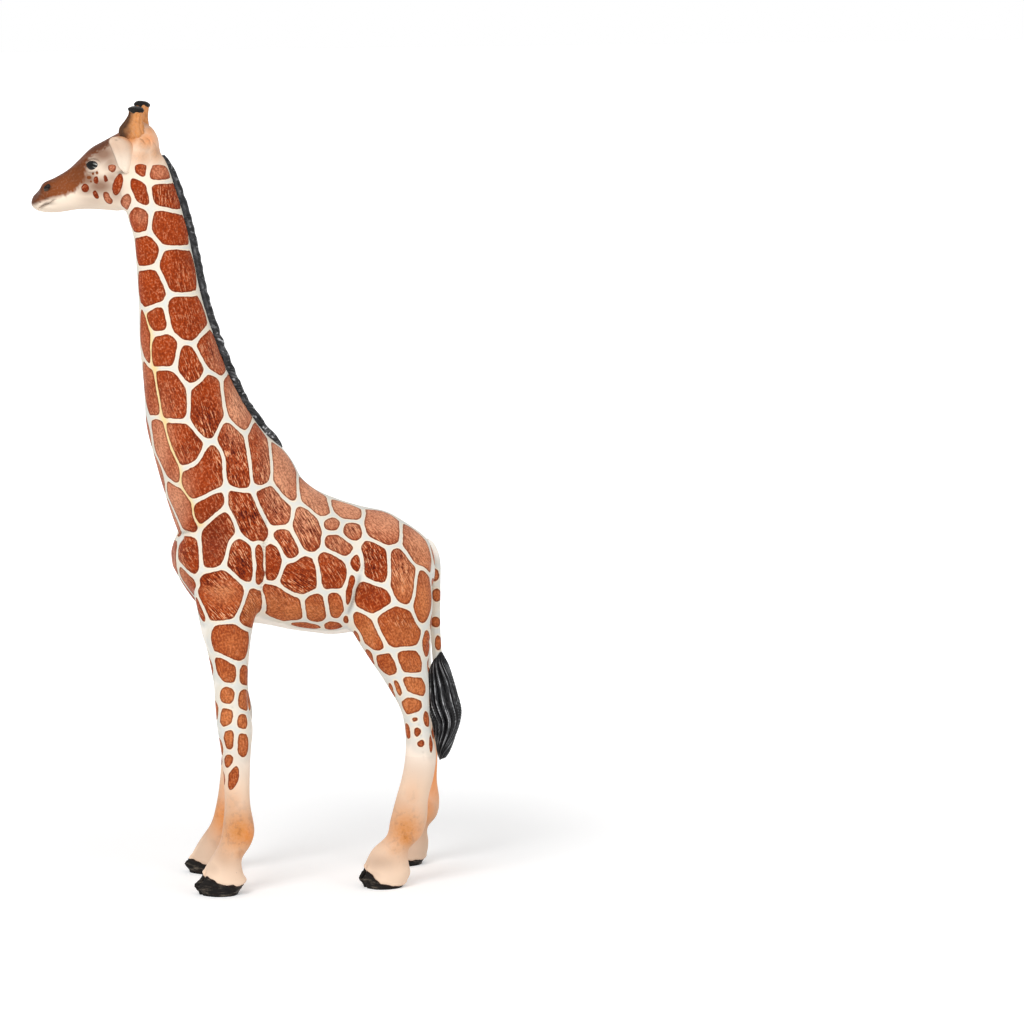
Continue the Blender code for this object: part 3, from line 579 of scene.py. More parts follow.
hindPatches = [
    (368, 633, 14, 19, 0.7), (400.5, 628, 21.5, 19.5, 0.2), (387, 664, 12, 10.5, 0.4),
    (409, 662.5, 12.5, 13, 0.2), (414.5, 685, 11.5, 11, 0.4), (397.5, 688, 4.5, 8, 0.5),
    (411.5, 706, 9.5, 9, 0.0), (415, 719, 4, 3.5, 0.0), (407.5, 731, 2.5, 7, 0.4),
    (417, 732, 3.5, 5.5, 0.0), (421, 743, 3, 3.5, 0.0), (426.5, 719, 3, 7, 0.3),
    (431, 743, 1.5, 9, 0.3), (427, 644, 3, 13, -0.2), (432, 650, 1.5, 12, 0.0),
    (357, 636, 3, 5, 0.5), (370, 657, 4, 7, 0.7), (392, 690, 3, 7, 0.6),
]
frontPatches = [
    (232, 642.5, 20, 18.5, 0.1), (226, 669, 11, 13, 0.4), (245, 676, 4.5, 10, 0.2),
    (227, 696, 7, 8, 0.0), (244.5, 699.5, 4.5, 10.5, 0.0), (225.5, 717, 6.5, 9, 0.0),
    (242.5, 722, 4.5, 8, 0.0), (229.5, 740.5, 5.5, 10.5, 0.0), (242.5, 744, 5.5, 12, 0.1),
    (228, 760, 4, 7, -0.2), (233, 778, 5, 11, -0.5), (221, 786, 2.5, 5, 0.0),
]
facePatches = [
    (112, 168, 3.5, 4.5, 0.0), (97, 180, 3, 3.6, 0.0), (106, 179, 3, 4.5, 0.0), (85, 188, 3.6, 4, 0.0),
    (96, 194, 3, 4, 0.4), (108, 197, 4.5, 6.5, 0.4), (117.5, 185, 5.5, 10.5, -0.5),
]

# Patches that the photograph's side doesn't show: millimetres to the left and up, then half width and half
# height as above, found from straight ahead or from straight behind
aheadPatches = [
    (0.0, 98.0, 5, 13), (0.0, 89.0, 8, 17), (0.0, 79.5, 10, 17), (0.0, 70.8, 12, 14), (0.0, 63.5, 12, 12),
    (8.6, 48.6, 8, 10), (9.4, 39.2, 8, 9.5), (10.3, 31.5, 6, 8.5), (10.1, 24.6, 5, 7), (5.5, 54.5, 6, 8),
]
behindPatches = [
    (3.4, 70.0, 7, 8), (6.0, 62.5, 9, 11), (8.2, 56.5, 9, 10), (9.2, 47.5, 7, 9), (9.0, 39.5, 7, 8),
    (9.8, 32.5, 5, 7),
]

# How patches grow past their ellipses to fill their cells: a share of their size, then millimetres
patchGroups = [
    (neckPatches, 0.35, 0.5), (bodyPatches, 0.35, 0.5), (hindPatches, 0.12, 0.5), (frontPatches, 0.12, 0.5),
    (facePatches, 0.0, 0.5),
]
coat = {"cornerRounding": 0.31, "reach": 16.0}

# The way the moulded hair lies: place in the image, and a direction in it
hairFlow = [
    (140, 190, 0.2, 1.0), (180, 300, 0.25, 1.0), (210, 400, 0.35, 1.0), (235, 470, 0.35, 1.0),
    (240, 530, 0.4, 1.0), (215, 590, 0.8, 0.7), (285, 520, 0.5, 1.0), (300, 575, 0.9, 0.5),
    (330, 560, 0.5, 0.9), (380, 560, 0.35, 1.0), (405, 590, 0.3, 1.0), (385, 525, 0.8, 0.6),
    (232, 650, 0.1, 1.0), (235, 750, 0.0, 1.0), (405, 650, 0.5, 1.0), (415, 740, 0.1, 1.0),
    (90, 175, -1.0, 0.4),
]

# Where the hair is cut deep, its pale strokes partly dry-brushed paint and partly painted highlight: place in
# the image, its reach across and down, and how much
hairyPlaces = [
    (233, 460, 20, 36, 1.0), (207, 425, 16, 26, 0.9), (247, 516, 22, 26, 1.0), (275, 507, 18, 22, 1.0),
    (285, 545, 15, 18, 0.85), (241, 560, 16, 24, 1.0), (308, 529, 17, 24, 0.95), (262, 470, 12, 36, 0.8),
    (372, 556, 17, 26, 1.0), (402, 566, 14, 24, 0.8), (215, 580, 20, 12, 0.7), (222, 614, 26, 9, 0.9),
    (296, 584, 24, 15, 0.85), (338, 545, 16, 11, 0.6), (191, 375, 14, 20, 0.75), (166, 198, 14, 12, 0.7),
    (190, 318, 13, 20, 0.5), (182, 275, 12, 22, 0.4), (212, 352, 12, 18, 0.6), (331, 568, 16, 20, 0.55),
    (186, 552, 10, 14, 0.6), (172, 402, 12, 20, 0.5), (186, 450, 14, 16, 0.5), (352, 530, 9, 8, 0.7),
    (238, 402, 12, 20, 0.6), (398, 620, 14, 8, 0.5), (253, 600, 9, 14, 0.5),
]

# Lighter, tanner patches, partly their paint and partly painted light on the top of the back: place in the
# image, its reach across and down, and how much of it
tanAndLitPlaces = [
    (420, 548, 24, 36, 0.80), (385, 522, 30, 20, 0.70), (345, 512, 34, 20, 0.90), (309, 504, 24, 32, 1.0),
    (282, 470, 17, 42, 1.15), (238, 404, 14, 32, 1.1), (217, 356, 10, 24, 0.35), (308, 612, 60, 15, 0.65),
    (275, 604, 24, 16, 0.6), (251, 606, 12, 22, 0.75), (224, 592, 16, 14, 0.62), (181, 572, 9, 26, 0.7),
    (177, 502, 15, 34, 0.85), (160, 446, 12, 42, 0.75), (145, 370, 8, 40, 0.35), (404, 580, 14, 28, 0.75),
    (424, 600, 11, 34, 0.7), (368, 634, 14, 24, 0.75), (404, 634, 30, 26, 0.5), (408, 690, 30, 44, 0.75),
    (234, 645, 24, 24, 0.42), (232, 720, 24, 60, 0.75), (160, 172, 14, 10, 0.5), (128, 201, 8, 10, 0.8),
    (142, 216, 9, 10, 0.45), (338, 545, 16, 12, 0.6), (352, 528, 14, 12, 0.6), (300, 530, 10, 18, 0.5),
    (112, 168, 5, 5, 0.6), (108, 197, 6, 8, 0.5),
]
darkPlaces = [
    (214, 535, 20, 32, 0.8), (188, 552, 14, 18, 0.4), (240, 558, 14, 20, 0.3), (371, 596, 16, 14, 0.3),
    (375, 560, 12, 18, 0.3), (207, 420, 12, 26, 0.2), (85, 188, 5, 5, 0.85), (97, 180, 4, 4.5, 0.6),
    (106, 179, 4, 5, 0.65), (96, 194, 4, 5, 0.5), (140, 192, 10, 12, 0.25),
]

# Airbrushed orange: place in the image, its reach across and down, and how much of it
orangePlaces = [
    (240, 832, 26, 26, 1.0), (247, 836, 14, 17, 1.0), (241, 852, 13, 10, 0.7), (232, 806, 13, 20, 0.5),
    (405, 830, 24, 26, 0.95), (406, 838, 15, 14, 1.0), (397, 848, 13, 10, 0.6), (412, 798, 11, 20, 0.35),
    (146, 140, 16, 14, 0.85), (156, 152, 10, 14, 0.7), (142, 156, 16, 11, 0.6), (131, 138, 13, 9, 1.0),
    (150, 130, 10, 9, 0.8), (165, 158, 8, 10, 0.35), (147, 121, 9, 9, 0.95),
]
# The thin yellowish line between the front of the neck and its side
yellowLine = [(147, 316), (151, 345), (157, 385), (163, 415), (176, 462), (188, 498), (200, 524)]
# The crease behind the shoulder, across which the patches nearly meet
creaseLine = [(267, 549), (265, 560), (264.5, 575), (264, 590)]

# The face: the edge of its brown paint, and the warmer grey around the eye and the temple; the last grey places
# are painted shade on the feet and lower legs
brownEdge = [
    (30, 206), (38, 203.5), (50, 199), (62, 196.5), (73, 192.5), (81, 186), (85.5, 178), (87.5, 168),
    (89.5, 159),
    (96, 153.5), (105, 148.5), (114, 144), (130, 138),
]
greyPlaces = [
    (103, 154, 17, 11, 1.06), (110, 161, 10, 11, 0.78), (88, 179, 11, 9, 1.08), (100, 186, 18, 10, 1.05),
    (112, 178, 9, 8, 0.7), (88, 190, 10, 6, 0.8), (92, 200, 16, 6, 0.38), (115, 193, 6, 8, 0.6),
    # painted shade: grey on the feet and the lower legs
    (205, 850, 12, 12, 0.35), (379, 862, 17, 9, 0.45), (224, 858, 10, 12, 0.40), (372, 874, 10, 6, 0.25),
    (214, 868, 8, 7, 0.25),
    (232, 815, 12, 12, 0.22), (402, 805, 14, 14, 0.22), (416, 770, 16, 16, 0.20),
]
# Painted shade on the face, at the mouth, about the eye, under the ear's edge and by the horn: place in the
# image, its reach across and down, and how much
faceShadePlaces = [
    (33, 202, 5, 3.0, 0.6), (86, 160, 7, 5, 0.42), (122, 172.5, 6, 2.0, 0.65), (80, 166, 9, 8, 0.42),
    (117, 139, 8, 3.5, 0.6), (49, 203.5, 6, 1.6, 0.4),
]
# The top of the face, along which painted shade darkens its brown
profile = [
    (33, 201), (37, 193), (41, 184), (47, 179), (60, 172), (70, 166), (78, 158.5), (86, 152), (95, 148),
    (105, 143),
    (113, 138),
]
faceSpecks = [
    (89, 177.5, 2.4, 1.8, 1.0), (93, 173.6, 1.3, 1.4, 1.0), (97, 172.8, 1.4, 1.7, 1.0),
    (79, 181, 2.0, 1.6, 0.8),
    (91, 181.5, 1.2, 1.2, 0.8), (74, 178, 1.2, 1.2, 0.6),
]
# Brighter orange, a painted highlight at the back of each fetlock and a lighter spot behind the horns: place in
# the image, its reach across and down, and how much
brightOrange = [(252, 836, 9, 11, 0.45), (420, 836, 6, 10, 0.3), (153, 138, 9, 9, 0.7)]
# The dark line painted between the lips, as a fold is: its places, depth and half width
mouthLine = ([(40.5, 208.4), (44, 205.6), (48, 203.2), (53.8, 200.8)], 0.80, 0.74)
# The nostril: its place in the image, and half its length and height there
nostril = {"x": 47.4, "y": 187.6, "length": 3.3, "height": 3.6, "lean": 9.0}


def placesWeight(image, rows):
    # the greatest of amount exp(-(dx / reach)^2 - (dy / reach)^2) over the places
    weight = np.zeros(len(image[0]))
    for x, y, wide, tall, amount in rows:
        form = ((image[0] - x) / wide) ** 2 + ((image[1] - y) / tall) ** 2
        weight = np.maximum(weight, amount * np.exp(-form))
    return weight


def lineDistance(image, line):
    # the distance to a line through image places, and on which side of it a point lies
    line = smoothRows(line, 4)
    place = np.stack(image, -1)
    best = np.full(len(place), 1e9)
    side = np.zeros(len(place))
    for start, end in zip(line[:-1], line[1:]):
        span = end - start
        share = np.clip(((place - start) @ span) / (span @ span), 0, 1)
        away = place - start - share[:, None] * span
        distance = np.hypot(away[:, 0], away[:, 1])
        nearer = distance < best
        best = np.where(nearer, distance, best)
        side = np.where(nearer, np.sign(span[0] * away[:, 1] - span[1] * away[:, 0]), side)
    return best, side


def hairDirection(x, y):
    # the flow's directions, weighted by one over the square of their distance
    rows = np.array(hairFlow)
    weight = 1 / ((rows[:, 0] - x) ** 2 + (rows[:, 1] - y) ** 2 + 60)
    return unit(weight @ rows[:, 2:])


def patchSpots():
    spots = []
    for rows, share, extra in patchGroups:
        for x, y, wide, tall, lean in rows:
            centre, normal = castPixel(tree, x, y)
            right, down = tangentAxes(normal)
            flow = hairDirection(x, y)
            along = unit(right * flow[0] + down * flow[1])
            across = np.cross(normal, along)
            grow = extra + share * math.sqrt(wide * tall) * photo["mmPerPixel"]
            metric = spotMetric(right, down, normal, wide, tall, lean)
            spots.append((centre, metric, grow, across, along))
    for rows, way in ((aheadPatches, 1), (behindPatches, -1)):
        for x, z, wide, tall in rows:
            place, normal, _, _ = tree.ray_cast(Vector((x, -100 * way, z)) * metresPerMm, Vector((0, way, 0)))
            across = np.array([1.0, 0, 0])
            along = unit(np.cross(across, np.array(normal)))
            right, down = across * photo["mmPerPixel"], along * photo["mmPerPixel"]
            metric = spotMetric(right, down, np.array(normal), wide, tall, 0.0)
            grow = 0.5 + 0.35 * (z > 52) * math.sqrt(wide * tall) * photo["mmPerPixel"]
            spots.append((np.array(place) / metresPerMm, metric, grow, across, along))
    return spots


spots = patchSpots()
# painted shade along the folds, and the dark line painted between the lips
foldShadeAndMouthLine = []
for places, depth, width in folds + [mouthLine]:
    on = np.array([castPixel(tree, x, y)[0] for x, y in smoothRows(places, 6)])
    foldShadeAndMouthLine.append((on, min(0.75, 0.95 * depth), 0.5 * width))


def outerSide(left):
    # below the belly the inner face of a leg is painted as its outer face is, mirrored in the leg's middle
    z = left[:, 2]
    isFront = left[:, 1] < midBodyY
    middle = np.where(isFront, legX(frontLeg, z / frontLeg["height"]), legX(hindLeg, z / hindLeg["height"]))
    inner = np.maximum(middle - left[:, 0], 0.0) * (z < 50.0)
    mirrored = left.copy()
    mirrored[:, 0] += 2 * inner
    mirrored[:, 2] += 2.5 * smoothStep(inner, 0.5, 3.0)
    return mirrored, inner


def coatField(left):
    # Each patch is an ellipsoid, and d is the distance to it along the ray from its middle. The edge value is
    # half of how much nearer the nearest patch is than all others, by a smooth least value that rounds corners.
    order = np.argsort(left[:, 2])
    sorted_ = left[order]
    heights = sorted_[:, 2]
    nearest = np.full(len(left), 1e3)
    total = np.zeros(len(left))
    grow = np.zeros(len(left))
    hair = np.zeros((len(left), 3))
    rounding = coat["cornerRounding"]
    for number, (centre, metric, allowed, across, along) in enumerate(spots):
        low, high = np.searchsorted(heights, [centre[2] - coat["reach"], centre[2] + coat["reach"]])
        away = sorted_[low:high] - centre
        form = np.sqrt(np.einsum("ij,jk,ik->i", away, metric, away)) + 1e-6
        distance = np.linalg.norm(away, axis=1) * (1 - 1 / form)
        total[low:high] += np.exp(-distance / (2 * rounding))
        nearer = distance < nearest[low:high]
        nearest[low:high] = np.where(nearer, distance, nearest[low:high])
        grow[low:high] = np.where(nearer, allowed, grow[low:high])
        local = np.stack([away @ across, away @ along, np.full(len(away), 7.3 * number)], -1)
        hair[low:high] = np.where(nearer[:, None], local, hair[low:high])
    others = np.maximum(total * np.exp(np.minimum(nearest, 60.0) / (2 * rounding)) - 1, 1e-9)
    edge = np.minimum(-rounding * np.log(others), grow - nearest)
    back = np.empty_like(order)
    back[order] = np.arange(len(order))
    return edge[back], hair[back]


def paintAttributes(mesh):
    # everything that the coat's shader needs at each point of the skin
    points, normals, edges = readMesh(mesh)
    left = onLeftSide(points)
    z = left[:, 2]
    inward = -normals[:, 0] * np.where(points[:, 0] < 0, -1, 1)
    painted, inner = outerSide(left)
    edge, hair = coatField(painted)
    image = imagePlace(left)
    imageX, imageY = image
    headShare = mirrorHeadShare(points)
    neckLine = np.exp(-(lineDistance(image, yellowLine)[0] / 4.0) ** 2) * (normals[:, 1] < 0.4)
    crease = np.exp(-(lineDistance(image, creaseLine)[0] / 5.0) ** 2) * (z > 52)
    edge = edge + 0.18 * neckLine + 0.27 * crease
    # no patches under the belly, between the thighs and on the crown
    under = smoothStep(-normals[:, 2], 0.82, 0.97) * (z > 48) * (z < 68)
    between = smoothStep(inward, 0.2, 0.6) * smoothStep(z, 44.0, 50.0) * (z < 62)
    crown = smoothStep(-imageY, -166.0, -158.0) * (z > 140)
    edge = edge - 3.0 * np.maximum(under, between) - 3.0 * crown
    # painted light: surfaces that face up are painted lighter
    topLight = smoothStep(normals[:, 2], 0.3, 1.0)
    tone = np.clip(placesWeight(image, tanAndLitPlaces) + 0.25 * topLight, 0, 1) * 0.5 + 0.5
    tone = tone - 0.5 * placesWeight(image, darkPlaces)
    innerShin = smoothStep(inner, 0.0, 1.5) * np.exp(-((z - 19.0) / 9.0) ** 2)
    innerShin = innerShin * np.where(left[:, 1] < midBodyY, 0.42, 0.9)
    orange = np.maximum(placesWeight(image, orangePlaces), 0.95 * innerShin)
    # the yellow channel lightens the paint: the neck's yellowish line, the inner shins, and a painted highlight
    # at the fetlocks' backs
    yellow = np.maximum(neckLine, np.maximum(innerShin, placesWeight(image, brightOrange)))
    # the face's brown ends at a ragged edge, and specks of it lie under the eye
    away, side = lineDistance(image, brownEdge)
    ragged = 0.75 * wavyNoise(left, 0.8, 51) * smoothStep(imageX, 50.0, 75.0)
    brown = smoothStep(ragged - away * side, -2.4, 3.2) * headShare * (z > 138)
    brown = brown * (1 - smoothStep(imageX, 122.0, 132.0))
    brown = brown * (1 - smoothStep(imageX, 96.0, 124.0) * (1 - crown))
    brown = np.maximum(brown, smoothStep(placesWeight(image, faceSpecks), 0.25, 0.50) * headShare)
    grey = placesWeight(image, greyPlaces) * np.maximum(headShare, z < 28)
    # painted shade: grey low on the legs' inner faces
    grey = np.maximum(grey, 0.30 * smoothStep(inner, 0.3, 1.5) * (1 - smoothStep(z, 8.0, 14.0)))
    # painted shade along the top of the face and at the face's shaded places
    profileShade = 0.50 * np.exp(-(lineDistance(image, profile)[0] / 4.5) ** 2) * (z > 138)
    deep = np.maximum(placesWeight(image, faceShadePlaces), profileShade) * headShare
    # painted shade: a darker brown in hollows, by how far each point lies below its neighbours, and along the
    # folds
    hollow = ((neighbourMean(points, edges) - points) * normals).sum(1)
    size = np.linalg.norm(points[edges[:, 0]] - points[edges[:, 1]], axis=1).mean()
    for _ in range(2):
        hollow = neighbourMean(hollow[:, None], edges)[:, 0]
    hollowShade = np.clip(hollow / size ** 2 * 0.55 - 0.10, 0, 1)
    for on, strength, width in foldShadeAndMouthLine:
        near = np.flatnonzero(((left > on.min(0) - 1) & (left < on.max(0) + 1)).all(1))
        away = np.linalg.norm(left[near, None] - on[None], axis=2)
        fade = np.sin(np.linspace(0.1, math.pi - 0.1, len(on))) ** 0.5
        hollowShade[near] = np.maximum(hollowShade[near], strength * (fade * np.exp(-(away / width) ** 2)).max(1))
    ink, _ = hoofInk(points)
    behind, below = imageX - nostril["x"], imageY - nostril["y"]
    inNostril = 1 - np.hypot(behind / nostril["length"] + below / nostril["lean"], below / nostril["height"])
    ink = np.maximum(ink, np.where(headShare > 0.9, 0.5 * inNostril, unpainted))
    addAttributes(
        mesh, coatEdge=edge, inkEdge=ink, hairDepth=np.clip(0.16 + placesWeight(image, hairyPlaces), 0, 1),
        hairPlace=hair, coatPaint=np.stack([tone, orange, yellow, hollowShade], -1),
        facePaint=np.stack([brown, grey, deep, headShare], -1),
    )


def subMesh(name, mesh, planes):
    # the faces of the skin that lie within a little of the kept side of every plane
    points, _, _ = readMesh(mesh)
    keep = np.ones(len(points), bool)
    for point, normal in planes:
        keep &= (points - point) @ normal < skin["spare"]
    corners = np.empty(len(mesh.loops), np.int32)
    mesh.loops.foreach_get("vertex_index", corners)
    quads = corners.reshape(-1, 4)
    quads = quads[keep[quads].all(1)]
    used = np.unique(quads)
    number = np.zeros(len(points), np.int64)
    number[used] = np.arange(len(used))
    return makeMesh(name, points[used], number[quads], np.zeros((0, 3), int))


def cutAtPlanes(mesh, planes):
    # drops the side of each plane that its normal points to, and closes the cut with a flat face
    shape = bmesh.new()
    shape.from_mesh(mesh)
    for face in shape.faces:
        face.smooth = True
    for point, normal in planes:
        everything = shape.verts[:] + shape.edges[:] + shape.faces[:]
        cut = bmesh.ops.bisect_plane(
            shape, geom=everything, dist=1e-8, plane_co=Vector(point * metresPerMm), plane_no=Vector(normal),
            clear_outer=True,
        )
        rim = [part for part in cut["geom_cut"] if isinstance(part, bmesh.types.BMEdge) and part.is_boundary]
        if rim:
            filled = bmesh.ops.holes_fill(shape, edges=rim, sides=0)
            for face in filled["faces"]:
                face.smooth = False
            for edge in rim:
                edge.smooth = False
    shape.to_mesh(mesh)
    shape.free()
    return mesh


def skinPieces():
    # every moulding of the skin: its name, the node it stands for, its record slot and its cutting planes
    sideways, backwards, upwards = np.eye(3)
    middle = np.zeros(3)
    legSeam = np.array([0.0, 0.0, seams["legs"]])
    between = np.array([0.0, midBodyY, 0.0])
    rows = [
        ("body" + word.title(), "torso_" + word + "_shell", "coat", [
            (lowerSeamPoint, lowerSeamNormal), (legSeam, -upwards), (middle, -side * sideways),
        ])
        for word, side in (("left", 1), ("right", -1))
    ]
    rows += [
        ("neckSkin", "neck", "coat", [(lowerSeamPoint, -lowerSeamNormal), (upperSeamPoint, upperSeamNormal)]),
        ("headSkin", "head", "face", [(upperSeamPoint, -upperSeamNormal)]),
    ]
    for leg, side, footY in eachLeg():
        toe, heel = (
            np.array([side * leg["footX"], footY + end * leg["depth"], height])
            for end, height in zip(leg["hoofEnds"], (seams["hoofToe"], seams["hoofHeel"]))
        )
        hoofPoint, hoofUp = slopingPlane(toe, heel)
        away = backwards if leg is frontLeg else -backwards
        inner = [(middle, -side * sideways), (between, away)]
        word = "left" if side > 0 else "right"
        name, node = leg["node"].title() + word.title(), leg["node"] + "_" + word
        rows.append(("leg" + name, "leg_" + node, "cream", [(legSeam, upwards), (hoofPoint, -hoofUp)] + inner))
        rows.append(("hoof" + name, "hoof_" + node, "dark", [(hoofPoint, hoofUp), (middle, -upwards)] + inner))
    return rows


# Forms of the face: place in the image, half width, half height, lean, and height in millimetres
faceForms = [
    (92, 158, 9, 3.5, -0.6, 0.45), (92, 166, 7.5, 6, -0.2, -0.35), (108, 187, 13, 13, 0.2, 0.55),
    (84, 178, 8, 7, 0.0, -0.25), (70, 186, 14, 6, -0.5, -0.2), (46, 184, 6, 4, -0.5, 0.35),
    (48, 188, 2.6, 2.0, -0.4, -0.75), (36, 202, 5, 3, -0.4, 0.25), (48, 208, 8, 3, 0.1, 0.25),
    (76, 168, 9, 4, -0.7, 0.3), (124, 166, 5, 6, 0.0, -0.5), (80, 203, 20, 4, 0.0, 0.2),
    (124, 199, 5, 8, 0.0, -0.3), (152, 137, 8, 9, 0.2, 0.6), (113, 148, 9, 6, -0.4, 0.2),
    (35.5, 193, 4, 7, -0.6, -0.55), (42, 181.5, 4, 3, -0.5, 0.25), (35.0, 210.5, 4, 2.6, 0.0, -0.75),
    (148, 131, 5, 4, 0.3, 0.3), (141, 147, 6, 5, 0.0, 0.3), (139, 155, 6, 12, 0.0, 0.6),
]
faceFolds = [
    ([(32, 213), (36, 211), (42, 206.8), (48, 203.6), (53, 200.6), (57, 199.5)], 0.55, 0.26),
    ([(83.5, 165.5), (87, 161.5), (92, 159.3), (97, 160), (100.5, 162.5)], 0.30, 0.22),
    ([(85, 170.5), (89.5, 172.6), (94.5, 172), (99.5, 168.5)], 0.24, 0.22),
    ([(118, 188), (121, 196), (122, 204)], 0.25, 0.45),
    ([(60, 187), (70, 181), (79, 177)], 0.14, 0.35),
    ([(139, 138), (143, 140), (146, 144.5)], 0.24, 0.28),
    ([(146, 137.5), (150, 140), (151, 145)], 0.20, 0.26),
    ([(153, 141), (156, 145), (157, 150)], 0.18, 0.26),
]


def addPiece(name, mesh, material, node):
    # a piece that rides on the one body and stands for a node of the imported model
    mesh.materials.append(material)
    made = addObject(name, mesh)
    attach(made, "root")
    if node:
        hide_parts(node)


def srgb(hexColour):
    # an sRGB hex colour as linear red, green, blue and alpha
    channels = np.array([int(hexColour[i:i + 2], 16) / 255 for i in (1, 3, 5)])
    linear = np.where(channels <= 0.04045, channels / 12.92, ((channels + 0.055) / 1.055) ** 2.4)
    return (*linear.tolist(), 1.0)


def fillInputs(tree, node, inputs):
    # a node's inputs as values, hex colours or other nodes' outputs
    for name, value in inputs.items():
        if isinstance(value, bpy.types.NodeSocket):
            tree.links.new(value, node.inputs[name])
        else:
            node.inputs[name].default_value = srgb(value) if isinstance(value, str) else value


def addNode(tree, kind, settings, inputs, output=0):
    # a shader node with its settings and inputs, by the output that is wanted of it
    node = tree.nodes.new("ShaderNode" + kind)
    for name, value in settings.items():
        setattr(node, name, value)
    fillInputs(tree, node, inputs)
    return node.outputs[output]


# The words of the tables of nodes: the kind of node, its settings, and which inputs a row gives, in order.
# Any other word is an operation of a Math node.
nodeWords = {
    "ramp": ("MapRange", {}, range(5)),
    "step": ("MapRange", {"interpolation_type": "SMOOTHSTEP"}, range(5)),
    "mix": ("Mix", {"data_type": "RGBA"}, (0, 6, 7)),
    "darken": ("Mix", {"data_type": "RGBA", "blend_type": "MULTIPLY"}, (0, 6, 7)),
    "noise": ("TexNoise", {}, ("Vector", "Scale", "Detail", "Roughness")),
    "stretch": ("VectorMath", {"operation": "MULTIPLY"}, range(2)),
    "swell": ("Math", {"operation": "MULTIPLY_ADD", "use_clamp": True}, range(3)),
    "bump": ("Bump", {}, ("Strength", "Distance", "Height")),
}


def addNodes(tree, parts, rows):
    # adds each row's node to the parts by its name; an input may be a number, a colour or a part's name
    for name, word, *inputs in rows:
        kind, settings, places = nodeWords.get(word, ("Math", {"operation": word}, range(3)))
        values = [parts.get(value, value) if isinstance(value, str) else value for value in inputs]
        parts[name] = addNode(tree, kind, settings, dict(zip(places, values)), 2 if kind == "Mix" else 0)


def newMaterial(name):
    material = bpy.data.materials.new(name)
    material.use_nodes = True
    tree = material.node_tree
    return material, tree, tree.nodes["Principled BSDF"]


coatPaint = {
    "patchRed": "#AB410A", "patchTan": "#EBA57F", "patchTanLow": "#E28E55", "patchDark": "#7A2804",
    "rimBrown": "#642008", "streakDark": "#84503A", "paleStreakAndGlint": "#F3B68A", "lineGrey": "#DCDBD4",
    "lineWarm": "#F4E2C8", "lineYellow": "#EFD49A", "sock": "#F2D5BB", "belly": "#FDF6EC",
    "sprayOrange": "#D08A4E", "orangeDark": "#A8683A", "orangeLight": "#FF9C50", "faceBrown": "#84451F",
    "brownDark": "#4C2E20", "faceGreyAndShade": "#957460", "faceCream": "#F6E2CC", "speckAndShadeBrown": "#43200F",
    "darkSpeckAndShadeBrown": "#2A1A14", "hoofBlack": "#1A1715", "inkWorn": "#776C60",
}


